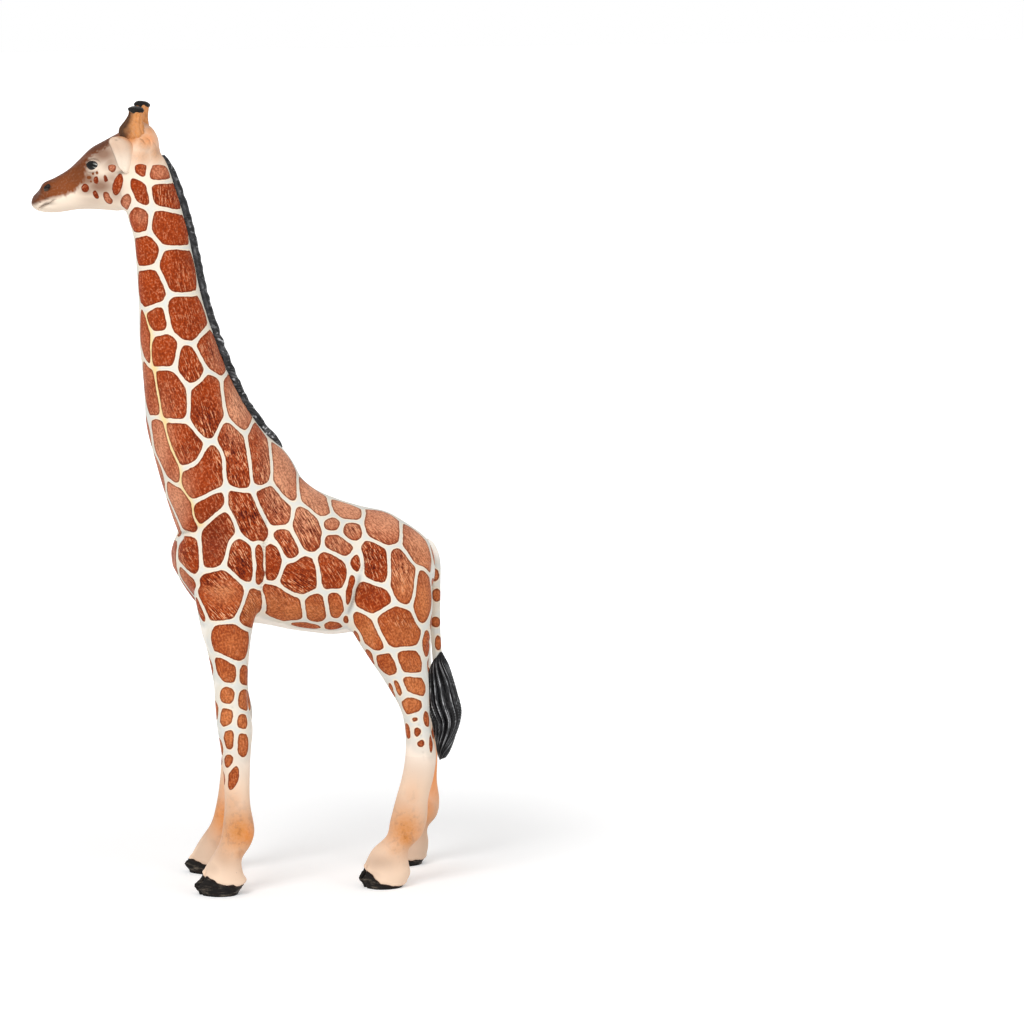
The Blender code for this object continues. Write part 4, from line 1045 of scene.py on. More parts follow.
def paintedVinyl():
    # Soft PVC, rotation-cast and painted by hand: satin, with thin paint that pools darker at patch edges
    material, tree, surface = newMaterial("painted vinyl coat")
    place = addNode(tree, "TexCoord", {}, {}, "Object")
    parts = {**coatPaint, "place": place, "height": addNode(tree, "SeparateXYZ", {}, {0: place}, 2)}
    singles = {"coatEdge": "Fac", "inkEdge": "Fac", "hairDepth": "Fac", "hairPlace": "Vector"}
    for name, output in singles.items():
        parts[name] = addNode(tree, "Attribute", {"attribute_name": name}, {}, output)
    fields = {
        "coatPaint": ("tone", "orange", "yellow", "hollowShade"), "facePaint": ("brown", "grey", "deep", "onHead"),
    }
    for name, words in fields.items():
        colour = addNode(tree, "Attribute", {"attribute_name": name}, {}, "Color")
        split = addNode(tree, "SeparateColor", {}, {0: colour}).node.outputs
        parts.update(zip(words, [*split, colour.node.outputs["Alpha"]]))
    addNodes(tree, parts, [
        # the hand-painted edge wobbles by 0.15 mm, about every 1.1 mm
        ("wobble", "noise", "place", 1000 / 1.1, 2.0),
        ("shift", "SUBTRACT", "wobble", 0.5),
        ("edge", "MULTIPLY_ADD", "shift", 0.30, "coatEdge"),
        ("inPatch", "step", "edge", 0.38, 0.48),
        ("fromRim", "step", "edge", 0.46, 0.90),
        # hair strokes: noise drawn out along the way the hair lies, 0.23 mm across and 1.7 mm along
        ("strokePlace", "stretch", "hairPlace", (1 / 0.23, 1 / 1.7, 1.0)),
        ("stroke", "noise", "strokePlace", 1.0, 2.0, 0.6),
        ("cloud", "noise", "place", 1000 / 5.0, 2.0),
        ("fleck", "noise", "place", 1000 / 0.45, 2.0),
        # patch paint, from dark through red-brown to tan
        ("toneUp", "ramp", "tone", 0.5, 1.0),
        ("toneDown", "ramp", "tone", 0.5, 0.0),
        ("lower", "step", "height", 0.080, 0.058),
        ("tan", "mix", "lower", "patchTan", "patchTanLow"),
        ("patch", "mix", "toneUp", "patchRed", "tan"),
        ("patch", "mix", "toneDown", "patch", "patchDark"),
        ("cloudDark", "ramp", "cloud", 0.35, 0.65, 0.25, 0.0),
        ("patch", "mix", "cloudDark", "patch", "patchDark"),
        # the smoother patches are only mottled, and the strokes are clearer towards a patch's rim
        ("mottled", "step", "fleck", 0.46, 0.58, 0.0, 0.42),
        ("patch", "darken", "mottled", "patch", "streakDark"),
        ("paler", "step", "fleck", 0.43, 0.34, 0.0, 0.30),
        ("patch", "mix", "paler", "patch", "tan"),
        ("darkStroke", "step", "stroke", 0.49, 0.41),
        ("darkStroke", "MULTIPLY", "darkStroke", "hairDepth"),
        ("patch", "darken", "darkStroke", "patch", "streakDark"),
        # pale strokes: paint rubbed from the hair's ridges, and painted highlight along them
        ("paleStrokeAndGlint", "step", "stroke", 0.575, 0.63),
        ("nearRim", "step", "edge", 3.2, 0.8, 0.65, 1.0),
        ("paleStrokeAndGlint", "MULTIPLY", "paleStrokeAndGlint", "nearRim"),
        ("paleStrokeAndGlint", "MULTIPLY", "paleStrokeAndGlint", "hairDepth"),
        ("patch", "mix", "paleStrokeAndGlint", "patch", "paleStreakAndGlint"),
        ("rim", "ramp", "fromRim", 0.0, 1.0, 0.72, 0.0),
        ("patch", "mix", "rim", "patch", "rimBrown"),
        # cream paint between the patches: cool in the middle of a line, warm at its sides, cream down the legs
        ("warm", "step", "cloud", 0.45, 0.62, 0.0, 0.40),
        ("line", "mix", "warm", "lineGrey", "lineWarm"),
        ("fringe", "step", "edge", 0.10, 0.36, 0.0, 0.85),
        ("line", "mix", "fringe", "line", "lineWarm"),
        ("line", "mix", "yellow", "line", "lineYellow"),
        ("far", "step", "edge", -0.4, -2.2),
        ("line", "mix", "far", "line", "belly"),
        ("low", "step", "height", 0.036, 0.020),
        ("line", "mix", "low", "line", "sock"),
        ("faceLine", "MULTIPLY", "onHead", 0.9),
        ("line", "mix", "faceLine", "line", "faceCream"),
        ("line", "mix", "grey", "line", "faceGreyAndShade"),
        # airbrushed orange, and the face's brown, both in fine droplets
        ("sprayed", "MULTIPLY_ADD", "fleck", 0.26, -0.13),
        ("spray", "swell", "orange", "sprayed", "orange"),
        ("blotch", "noise", "place", 1000 / 1.3, 3.0, 0.6),
        ("blotch", "step", "blotch", 0.50, 0.66, 0.0, 0.60),
        ("oranges", "mix", "blotch", "sprayOrange", "orangeDark"),
        ("oranges", "mix", "yellow", "oranges", "orangeLight"),
        ("line", "mix", "spray", "line", "oranges"),
        ("browned", "swell", "brown", "sprayed", "brown"),
        ("brownTone", "ramp", "cloud", 0.35, 0.7, 0.0, 0.35),
        ("browns", "mix", "brownTone", "faceBrown", "brownDark"),
        ("line", "mix", "browned", "line", "browns"),
        # black paint with scuffs in layers, then specks, and painted shade in hollows and folds over everything
        ("colour", "mix", "inPatch", "line", "patch"),
        # dark brown: the ears' specks, and painted shade on the face, the ears and the horns
        ("colour", "mix", "deep", "colour", "darkSpeckAndShadeBrown"),
        ("ink", "MULTIPLY_ADD", "shift", 0.5, "inkEdge"),
        ("inked", "step", "ink", -0.05, 0.07),
        ("layered", "stretch", "place", (330.0, 330.0, 1200.0)),
        ("scuff", "noise", "layered", 1.0, 4.0, 0.7),
        ("scuff", "step", "scuff", 0.50, 0.74, 0.0, 0.85),
        ("inks", "mix", "scuff", "hoofBlack", "inkWorn"),
        ("colour", "mix", "inked", "colour", "inks"),
        ("speck", "step", "fleck", 0.74, 0.80, 0.0, 0.35),
        ("colour", "mix", "speck", "colour", "speckAndShadeBrown"),
        # painted shade in hollows and folds
        ("colour", "mix", "hollowShade", "colour", "speckAndShadeBrown"),
        # satin, a little uneven, with moulded hair in the patches and fine grain everywhere
        ("gloss", "ramp", "fleck", 0.3, 0.7, 0.42, 0.56),
        ("grain", "noise", "place", 1000 / 0.16, 1.0),
        ("hairRelief", "MULTIPLY", "stroke", "inPatch"),
        ("hairRelief", "MULTIPLY", "hairRelief", "hairDepth"),
        ("relief", "MULTIPLY_ADD", "grain", 0.12, "hairRelief"),
        ("bump", "bump", 0.6, 0.00022, "relief"),
    ])
    fillInputs(tree, surface, {
        "Base Color": parts["colour"], "Roughness": parts["gloss"], "Normal": parts["bump"], "IOR": 1.5,
        "Specular IOR Level": 0.11,
    })
    return material


def blackPaint():
    # Gloss enamel over grooved vinyl: near black in the grooves, with painted highlights in pale grey on the
    # ridges
    material, tree, surface = newMaterial("black gloss paint")
    parts = {
        "place": addNode(tree, "TexCoord", {}, {}, "Object"),
        "strand": addNode(tree, "Attribute", {"attribute_name": "strand"}, {}, "Vector"),
        "ridge": addNode(tree, "Attribute", {"attribute_name": "ridge"}, {}, "Fac"),
    }
    addNodes(tree, parts, [
        ("fine", "noise", "strand", 1.0, 3.0, 0.6),
        ("cloud", "noise", "place", 1000 / 2.5, 2.0),
        ("worn", "step", "fine", 0.48, 0.68),
        ("colour", "mix", "worn", "#08080A", "#2E2E31"),
        ("tinted", "step", "cloud", 0.5, 0.75, 0.0, 0.4),
        ("colour", "mix", "tinted", "colour", "#262322"),
        # painted highlight: pale grey on the ridges, in patches
        ("paintedHighlight", "step", "cloud", 0.38, 0.58, 0.25, 1.0),
        ("paintedHighlight", "MULTIPLY", "paintedHighlight", "ridge"),
        ("colour", "mix", "paintedHighlight", "colour", "#C6C7CA"),
        ("gloss", "ramp", "cloud", 0.3, 0.7, 0.16, 0.30),
        ("bump", "bump", 0.7, 0.00016, "fine"),
    ])
    fillInputs(tree, surface, {
        "Base Color": parts["colour"], "Roughness": parts["gloss"], "Normal": parts["bump"],
        "Specular IOR Level": 0.22,
    })
    return material


def eyeEnamel():
    # Hard gloss enamel: black, with two pale glints painted as highlights, and a sharp mirror of the studio
    material, tree, surface = newMaterial("gloss eye enamel")
    place = addNode(tree, "Attribute", {"attribute_name": "eyePlace"}, {}, "Vector")
    split = addNode(tree, "SeparateXYZ", {}, {0: place}).node.outputs
    parts = {"along": split[0], "up": split[1]}
    addNodes(tree, parts, [
        ("slant", "MULTIPLY_ADD", "along", 0.30, "up"),
        ("high", "SUBTRACT", "slant", 0.30),
        ("high", "ABSOLUTE", "high"),
        ("low", "ADD", "slant", 0.22),
        ("low", "ABSOLUTE", "low"),
        ("near", "MINIMUM", "high", "low"),
        ("glint", "step", "near", 0.09, 0.03),
        ("behind", "step", "along", 0.0, 0.6),
        ("glint", "MULTIPLY", "glint", "behind"),
        ("inside", "step", "along", 0.88, 0.70),
        ("glint", "MULTIPLY", "glint", "inside"),
        ("colour", "mix", "glint", "#0A0908", "#A9ABA4"),
    ])
    fillInputs(tree, surface, {"Base Color": parts["colour"], "Roughness": 0.14, "Specular IOR Level": 0.2})
    return material


def ofLeg(x, y, leg, side):
    # which points lie on a leg's side of the body and in its half of it
    return (x * side > 0) & ((y < midBodyY) == (leg is frontLeg))


def hoofInk(points):
    # how far each point lies below the upper edge of the hoof's black paint, and how deep the toe's cleft is
    x, y, z = points.T
    ink = np.full(len(points), unpainted)
    cleft = np.zeros(len(points))
    jagged = 0.09 * wavyNoise(points, 2.4, 5) + 0.025 * wavyNoise(points, 0.9, 6)
    for leg, side, footY in eachLeg():
        here = (z < 9) & ofLeg(x, y, leg, side)
        behind = y - footY
        rows = np.array(leg["inkRows"])
        front = smoothStep(-behind, -rows[1, 0] - 1.6, -rows[1, 0])
        split = x - side * leg["footX"] - 0.6 * side
        border = np.interp(behind, *rows.T) + jagged - np.exp(-(split / 0.45) ** 2) * front
        if side < 0:
            border = border - np.interp(behind, *np.array(leg["inkLower"]).T)
        ink = np.where(here, border - z, ink)
        groove = np.exp(-(split / 0.42) ** 2) * front * (1 - smoothStep(z, 3.6, 6.5))
        cleft = np.where(here, groove, cleft)
    return ink, cleft


def pointToes(points):
    # in front of the foot's middle its sides draw together, by a share that grows towards the toe, and the
    # sole lifts towards both ends, as a boat's keel does
    x, y, z = points.T.copy()
    for leg, side, footY in eachLeg():
        here = ofLeg(x, y, leg, side)
        toe, heel = (footY + end * leg["depth"] for end in leg["hoofEnds"])
        share = 0.42 * (1 - smoothStep(y - toe, 0.0, 4.5)) * (1 - smoothStep(z, 3.0, 9.0))
        middle = side * leg["footX"]
        toeShare = 1 - smoothStep(y - toe, -0.3, 3.4)
        lift = leg["soleLift"][0] * toeShare + leg["soleLift"][1] * smoothStep(y - heel, -4.2, 0.2)
        forward = 0.45 * toeShare * (1 - smoothStep(z, 0.5, 4.5)) * (leg is frontLeg)
        x = np.where(here, middle + (x - middle) * (1 - share), x)
        y = np.where(here, y - forward, y)
        z = np.where(here, z + lift * (1 - smoothStep(z, 0.6, 4.2)), z)
    return np.stack([x, y, z], -1)


def shapeHooves(mesh):
    # the painted horn lies a little under the vinyl's edge, with growth rings, scuffs and a cleft toe
    points, _, _ = readMesh(mesh)
    writePoints(mesh, pointToes(points))
    points, normals, _ = readMesh(mesh)
    ink, cleft = hoofInk(points)
    z = points[:, 2]
    sink = 0.20 * smoothStep(ink, -0.04, 0.14) - 0.12 * np.exp(-((ink + 0.45) / 0.35) ** 2)
    rings = 0.028 * np.cos(2 * math.pi * (z + 0.2 * points[:, 1]) / 0.75) * smoothStep(ink, 0.1, 0.4)
    scuffs = 0.022 * wavyNoise(points, 1.1, 8) * smoothStep(ink, 0.0, 0.3)
    flat = smoothStep(z, 0.0, 0.5)
    writePoints(mesh, points - normals * ((sink + rings + scuffs) * flat + 0.95 * cleft)[:, None])


horn = {
    "place": (0.197, 0.955), "spacing": 6.0, "lean": 0.10, "sides": 96, "ridges": 10, "flare": 1.1,
    # how high the crown rises around the foot and how far, and how far up the shaft's two ends lie
    "skirt": (1.5, 2.3), "ends": (-2.6, 5.6), "stretch": {1: 0.925, -1: 1.055},
    # along in millimetres, radius
    "rows": [
        (-2.6, 1.3), (-1.6, 1.8), (-0.6, 2.15), (0.4, 2.10), (1.4, 1.80), (2.5, 1.55), (3.4, 1.45),
        (4.1, 1.48),
        (4.6, 1.60), (5.0, 1.60), (5.3, 1.42), (5.5, 1.05), (5.6, 0.5), (5.62, 0.15),
    ],
}


def hornFoot(side):
    return middlePlace(head, *horn["place"]) + np.array([side * horn["spacing"] / 2, 0, 0])


def raiseSkirts(points):
    # the crown rises around each horn's foot by height exp(-(d / width)^2), where d is the way from its axis
    height, width = horn["skirt"]
    for side in (1, -1):
        x, y, z = (points - headTurned(hornFoot(side))).T
        near = np.exp(-(x ** 2 + (y * 0.85) ** 2) / width ** 2) * smoothStep(z, -5.0, -2.0)
        points = points + np.outer(height * near, [0, 0, 1])
    return points


def shapeFace(mesh):
    # the head's small forms fade out towards the neck
    points, normals, _ = readMesh(mesh)
    inside = smoothStep((points - upperSeamPoint) @ upperSeamNormal, 0.3, 2.5)
    changed = raiseSkirts(raiseSpots(points, normals, onLeftSide(points), tree, faceForms))
    writePoints(mesh, points + (changed - points) * inside[:, None])
    faceTree = surfaceTree(mesh)
    points, normals, _ = readMesh(mesh)
    changed = cutFolds(points, normals, onLeftSide(points), faceTree, faceFolds)
    writePoints(mesh, points + (changed - points) * inside[:, None])
    return surfaceTree(mesh)


vinyl = paintedVinyl()
black = blackPaint()
enamel = eyeEnamel()
faceTree = tree
for name, node, slotName, planes in skinPieces():
    mesh = subMesh(name, wrapped, planes)
    if not name.startswith(("body", "neck")):
        mesh = reshaped(mesh, "SUBSURF", levels=1, render_levels=1, boundary_smooth="ALL")
    if name.startswith(("leg", "hoof")):
        shapeHooves(mesh)
    if node == "head":
        faceTree = shapeFace(mesh)
    paintAttributes(mesh)
    mesh.name = name
    addPiece(name, cutAtPlanes(mesh, planes), vinyl, node)
    print(name, len(mesh.polygons), "faces")


def plainPaint(mesh, edge=unpainted, tone=0.5, orange=0.0, grey=0.0, deep=0.0, face=0.0, ink=unpainted):
    # the vinyl's paint attributes for a piece that isn't part of the skin
    none = np.zeros(len(mesh.vertices))
    addAttributes(
        mesh, coatEdge=edge + none, inkEdge=ink + none, hairDepth=0.2 + none,
        hairPlace=np.zeros((len(none), 3)),
        coatPaint=np.stack([tone + none, orange + none, none, none], -1),
        facePaint=np.stack([none, grey + none, deep + none, face + none], -1),
    )


def smoothTube(name, rings, side=1):
    # a closed tube as a smooth-shaded mesh, and its points in the mesh's own order; on the right it is the
    # twin of the left one, mirrored in the turned head's middle
    if side < 0:
        rings = headTurned(headTurned(rings, -1.0) * [-1, 1, 1])
    verts, quads, tris = gridMesh(rings)
    mesh = outward(makeMesh(name, verts, quads, tris))
    mesh.shade_smooth()
    return mesh, verts


mane = {
    "thickness": 3.9, "height": 1.50, "sunk": 1.3, "groove": 1.0, "steps": 620, "sides": 56,
    # how far up the neck's back, and how tall it stands there
    "rows": [
        (0.238, 0.10), (0.252, 0.55), (0.285, 0.92), (0.42, 1.0), (0.60, 1.0), (0.80, 1.0), (0.97, 0.95),
        (1.06, 0.80), (1.11, 0.50), (1.135, 0.1),
    ],
}


def maneTube():
    # Across the ridge, h runs from its foot to its crest and the half width is w |sin t|^0.8 (1 - 0.4 h).
    # Slanting grooves cut into its sides as depth (1 - |sin(pi q)|)^2, where q grows along and up the ridge.
    back = smoothRows([(row[3], row[2]) for row in neck["rows"]], 12)
    rows = smoothRows(mane["rows"], 10)
    up = np.linspace(rows[0, 0], rows[-1, 0], mane["steps"])
    tall = np.interp(up, rows[:, 0], rows[:, 1])
    line = middlePlace(neck, np.interp(up, back[:, 0], back[:, 1]), up)
    way = unit(np.gradient(line, axis=0))
    outwards = np.stack([0 * up, way[:, 2], -way[:, 1]], -1)
    along = np.concatenate([[0], np.cumsum(np.linalg.norm(np.diff(line, axis=0), axis=1))])
    phase = along / mane["groove"] + 0.5 * wavyNoise(along[:, None], 5.0, 21) / 2
    lower = 1 - smoothStep(up, 0.45, 0.75)
    tufts = np.abs(np.sin(math.pi * (along / 6.2 + 0.35 * wavyNoise(along[:, None], 12.0, 22))))
    ragged = (0.05 + 0.13 * lower) * (tufts - 0.6) + 0.035 * wavyNoise(along[:, None], 2.6, 23)
    crest = tall * mane["height"] * (1 + ragged)
    t = np.linspace(0, 2 * math.pi, mane["sides"], endpoint=False)
    share = (1 + np.cos(t)) / 2
    height = -mane["sunk"] + (crest + mane["sunk"])[:, None] * share
    wide = mane["thickness"] / 2 * np.abs(np.sin(t)) ** 0.8 * (1 - 0.4 * share)
    wide = wide * (0.35 + 0.65 * np.minimum(tall, 1.0))[:, None]
    place = np.stack(np.broadcast_arrays(along[:, None], height, np.sign(np.sin(t)) * 9.0), -1).reshape(-1, 3)
    wander = 0.35 * wavyNoise(place, 3.0, 24).reshape(height.shape)
    q = phase[:, None] + height / 0.9 + wander + 0.37 * (np.sin(t) < 0)
    grooves = (1 - np.abs(np.sin(math.pi * q))) ** 2
    fine = (1 - np.abs(np.sin(math.pi * (2.3 * q + 0.3)))) ** 2
    lumps = 0.12 * wavyNoise(place, 2.2, 25).reshape(height.shape)
    deep = (0.22 + 0.78 * lower)[:, None]
    wide = wide * (1 + deep * lumps) - deep * (0.34 * grooves + 0.12 * fine) * np.abs(np.sin(t))
    ridge = smoothStep((1 - grooves) * (1 - 0.6 * fine) + 0.8 * lumps, 0.75, 1.05)
    ridge = ridge * smoothStep(share, 0.35, 0.7)
    side = np.sign(np.sin(t)) * np.maximum(wide, 0.02)
    points = line[:, None] + outwards[:, None] * height[..., None] + side[..., None] * np.array([1.0, 0, 0])
    strand = np.stack(np.broadcast_arrays(q * 1.6, along[:, None] / 3, np.sign(np.sin(t))), -1).reshape(-1, 3)
    # painted highlights: a sheen along the upper ridge, pale ridges, and fine glints on the lower part
    sheen = np.exp(-((share - 0.62) / 0.10) ** 2) * (1 - 0.75 * lower)[:, None] * (0.6 + 0.4 * lumps / 0.12)
    glints = smoothStep(wavyNoise(place, 0.75, 26).reshape(height.shape), 1.05, 1.45)
    glints = glints * smoothStep(share, 0.3, 0.6)
    paintedHighlight = np.maximum(0.18 * sheen, np.maximum(0.20 * ridge * deep, glints * (0.3 + 0.7 * lower)[:, None]))
    return points, strand, np.clip(paintedHighlight, 0, 1)


def addBlack(name, node, rings, strand, ridge):
    mesh, verts = smoothTube(name, rings)
    ends = np.zeros((len(verts) - len(strand), 3))
    addAttributes(mesh, strand=np.vstack([strand, ends]), ridge=np.concatenate([ridge.reshape(-1), ends[:, 0]]))
    addPiece(name, mesh, black, node)


addBlack("maneRidge", "mane", *maneTube())

tail = {
    "root": (0.985, 0.50), "radius": 1.13, "length": 24.0, "swing": 7.8, "steps": 24, "sides": 40,
    # down, behind the root in millimetres, sideways as a share of the swing
    "rows": [
        (-0.05, -1.2, 0.0), (0.0, 0.1, 0.0), (0.12, 1.05, 0.0), (0.35, 1.0, 0.08), (0.7, 0.58, 0.35),
        (1.05, 0.68, 0.66),
    ],
    # spots: place in the image, half width and half height
    "spots": [(434.5, 575, 4.5, 6), (436.8, 595, 4.6, 6), (435.6, 622, 4.6, 5), (438.2, 643, 3.2, 7)],
}
tuft = {
    "length": 23.0, "depth": 7.2, "width": 4.2, "above": 3.0, "locks": 17, "sides": 204,
    # down, forward edge, rear edge, half thickness
    "rows": [
        (0.0, 0.06, 0.13, 0.16), (0.04, -0.05, 0.19, 0.42), (0.10, -0.19, 0.27, 0.70),
        (0.215, -0.33, 0.38, 0.92), (0.37, -0.38, 0.50, 1.0), (0.47, -0.37, 0.57, 1.0),
        (0.55, -0.32, 0.60, 0.98),
        (0.635, -0.24, 0.57, 0.90), (0.77, -0.18, 0.44, 0.72), (0.86, -0.12, 0.34, 0.56),
        (0.935, -0.07, 0.22, 0.38), (0.98, -0.04, 0.08, 0.20), (1.0, -0.03, 0.0, 0.06),
    ],
}


def tailLine():
    # the middle line of the stem, from inside the rump to inside the tuft
    rows = smoothRows(tail["rows"], tail["steps"])
    root = middlePlace(torso, *tail["root"])
    return root + np.stack([rows[:, 2] * tail["swing"], rows[:, 1], -rows[:, 0] * tail["length"]], -1)


def tailTube():
    # a round stem that narrows a little, with faint rings of hair
    line = tailLine()
    way = unit(np.gradient(line, axis=0))
    across = unit(np.cross(way, [1.0, 0, 0]))
    other = np.cross(way, across)
    t = np.linspace(0, 2 * math.pi, tail["sides"], endpoint=False)
    share = np.linspace(0, 1, len(line))[:, None]
    radius = tail["radius"] * (1.12 - 0.2 * share) * (1 + 0.02 * np.cos(7 * t + 3 * share))
    ring = across[:, None] * np.cos(t)[:, None] + other[:, None] * np.sin(t)[:, None]
    return line[:, None] + ring * radius[..., None]


def tuftTube():
    # Locks flow down the tuft: its outline is swollen by |cos(n (t + twist) / 2)|, whose twist bends with the
    # height, and finer strands run with them. The tips end at uneven heights.
    down, front, back, wide = (column[:, None] for column in smoothRows(tuft["rows"], 40).T)
    topX, topY, topZ = tailLine()[-3]
    t = np.linspace(0, 2 * math.pi, tuft["sides"], endpoint=False)
    turn = t + 0.75 * np.sin(4.6 * down - 0.8) + 0.25 * np.sin(10 * down)
    ring = np.stack([np.cos(turn), np.sin(turn), np.broadcast_to(down * 1.3, turn.shape)], -1).reshape(-1, 3)
    wander = 0.55 * wavyNoise(ring, 1.6, 31).reshape(turn.shape)
    locks = np.abs(np.cos(tuft["locks"] / 2 * turn + 2.2 * wander))
    strands = np.abs(np.cos(tuft["locks"] * 1.9 * turn + 4.0 * wander + 1.0))
    swell = 0.70 + 0.27 * locks ** 0.6 + 0.12 * strands ** 0.7 * locks
    swell = 1 + (swell - 1) * smoothStep(down, -0.02, 0.12)
    # painted highlights along the crests of the locks and strands
    ridge = smoothStep(locks, 0.86, 0.98) * smoothStep(strands, 0.62, 0.95) * smoothStep(down, 0.02, 0.12)
    uneven = 0.7 * wavyNoise(ring * [1, 1, 0], 1.1, 32).reshape(turn.shape)
    uneven = uneven * smoothStep(down, 0.7, 0.95) * (1 - smoothStep(down, 0.95, 1.0))
    middleX = topX + (tail["swing"] - topX) * np.minimum(2 * down, 1.0) + 0.35 * np.sin(3.2 * down + 0.4)
    x = middleX + wide * tuft["width"] / 2 * np.sin(t) * swell
    y = (front + back) / 2 * tuft["depth"] + topY + (back - front) / 2 * tuft["depth"] * np.cos(t) * swell
    z = topZ + tuft["above"] - down * tuft["length"] - uneven * 0.5
    strand = np.stack([turn * 9.0 + wander * 3, down * 7 + 0 * turn, 0 * turn], -1).reshape(-1, 3)
    return np.stack([x, y, z], -1), strand, 0.95 * ridge


stemMesh, stemVerts = smoothTube("tailStem", tailTube())
stemX, stemY = imagePlace(stemVerts)
spotEdge = np.full(len(stemVerts), unpainted)
for x, y, wide, tall in tail["spots"]:
    form = np.sqrt(((stemX - x) / wide) ** 2 + ((stemY - y) / tall) ** 2)
    spotEdge = np.maximum(spotEdge, 0.5 + (1 - form) * 0.9)
plainPaint(stemMesh, edge=spotEdge, tone=0.75)
addPiece("tailStem", stemMesh, vinyl, "tail")
addBlack("tailTuft", "tail_tuft", *tuftTube())

ear = {
    "thickness": 0.95, "cup": 0.9, "sides": 72,
    # front edge: place in the image and millimetres to the left; rear edge: the same
    "rows": [
        (123.5, 172.0, 2.4, 128.0, 174.0, 1.9), (118.6, 167.5, 3.2, 133.0, 170.0, 1.7),
        (115.8, 160.0, 3.8, 136.5, 161.5, 1.5), (113.2, 153.5, 4.3, 137.5, 153.0, 1.5),
        (110.7, 147.5, 4.6, 136.0, 146.0, 1.6), (108.8, 142.8, 4.8, 131.0, 141.0, 2.0),
        (109.3, 139.4, 4.6, 124.5, 137.2, 2.8), (112.0, 137.2, 4.3, 118.5, 136.2, 3.6),
    ],
}


def earTube():
    # A leaf with a closed thin section between its front and rear edges. v runs from 1 at the rear edge to -1,
    # and the leaf is bent by cup (1 - v^2) towards the viewer of its back; the front edge is rolled into a rim.
    rows = smoothRows(ear["rows"], 10)
    front, rear = (np.array([onPlane(*row) for row in ends]) for ends in (rows[:, :3], rows[:, 3:]))
    middle = (front + rear) / 2
    reach = (rear - front) / 2
    facing = unit(np.cross(reach, np.gradient(middle, axis=0)))
    facing = facing * np.sign(facing @ toCamera)[:, None]
    size = np.linalg.norm(reach, axis=1)
    full = (size / size.max())[:, None]
    along = np.linspace(0, 1, len(rows))
    t = np.linspace(0, 2 * math.pi, ear["sides"], endpoint=False)
    v = np.cos(t)
    rim = 1 + 0.9 * np.exp(-((v + 0.86) / 0.16) ** 2)
    thick = ear["thickness"] / 2 * np.sin(t) * (0.35 + 0.65 * full) * (1 - 0.35 * v * v) * rim
    ridges = 0.05 * np.cos(9 * v + 1.0) * full
    lip = 0.55 * np.exp(-((along[:, None] - 0.08) / 0.07) ** 2) * np.exp(-((v + 0.6) / 0.6) ** 2)
    out = ear["cup"] * full * (1 - v * v) + ridges + lip + thick
    points = middle[:, None] + reach[:, None] * v[:, None] + facing[:, None] * out[..., None]
    coords = np.stack(np.broadcast_arrays(along[:, None], v, np.sin(t)), -1).reshape(-1, 3)
    return points, coords


def hornTube(side):
    # A flared column whose radius is swollen by |cos(n t / 2)|^0.7 along its ridges, with a rough knob. Its foot
    # runs forward by flare (1 - s) cos^1.5, where s grows along it and the cosine is that with the way ahead.
    way = unit(np.array([horn["lean"], horn["lean"], 1.0]))
    across = unit(np.cross(way, [0.0, 1.0, 0.0]))
    other = np.cross(way, across)
    along, radius = (column[:, None] for column in smoothRows(horn["rows"], 9).T)
    t = np.linspace(0, 2 * math.pi, horn["sides"], endpoint=False)
    fade = 1 - smoothStep(along, 3.6, 4.8)
    ring = across * np.cos(t)[None, :, None] + other * np.sin(t)[None, :, None]
    rough = wavyNoise((ring * radius[..., None] + way * along[..., None]).reshape(-1, 3), 1.1, 41)
    rough = rough.reshape(len(along), -1)
    ridged = np.abs(np.cos(horn["ridges"] / 2 * t + 0.5 * np.sin(1.1 * along))) ** 0.7
    swell = 1 + 0.13 * (ridged - 0.6) * fade + (0.045 * (1 - fade) + 0.012) * rough
    ahead = -ring[..., 1] + 0 * swell
    flare = horn["flare"] * np.clip(ahead, 0, 1) ** 1.5 * (1 - smoothStep(along, 0.3, 4.2))
    length = along * np.where(along > 0, horn["stretch"][side], 1.0)
    points = hornFoot(1) + way * length[..., None] + ring * (radius * swell)[..., None]
    points = points - flare[..., None] * np.array([0.0, 1.0, 0.0])
    heights = np.concatenate([(along + 0 * swell).ravel(), horn["ends"]])
    return headTurned(points), heights, np.append(rough, [0, 0]), np.append(ahead, [0, 0])


eye = {"place": (92.4, 165.2), "length": 1.66, "height": 1.28, "bulge": 0.58, "sunk": 0.24, "tilt": 0.08}


def eyeTube():
    # an almond dome: with a = sin v cos t along it, its half height is sin v sin t (1 - 0.42 a^2)
    centre, normal = castPixel(faceTree, *eye["place"])
    right, down = (unit(axis) for axis in tangentAxes(normal))
    first = unit(right * math.cos(eye["tilt"]) + down * math.sin(eye["tilt"]))
    second = np.cross(first, normal)
    second = second * np.sign(second @ down)
    v = np.linspace(0.02, math.pi - 0.02, 26)[:, None]
    t = np.linspace(0, 2 * math.pi, 72, endpoint=False)
    across = np.sin(v) * np.cos(t)
    below = np.sin(v) * np.sin(t) * (1 - 0.42 * across ** 2) * np.where(np.sin(t) < 0, 0.88, 1.0)
    rise = np.broadcast_to(np.cos(v), across.shape)
    points = centre + first * (across * eye["length"])[..., None]
    points = points + second * (below * eye["height"])[..., None]
    points = points + normal * (rise * eye["bulge"] - eye["sunk"])[..., None]
    return points, np.stack([across, -below, rise], -1).reshape(-1, 3)


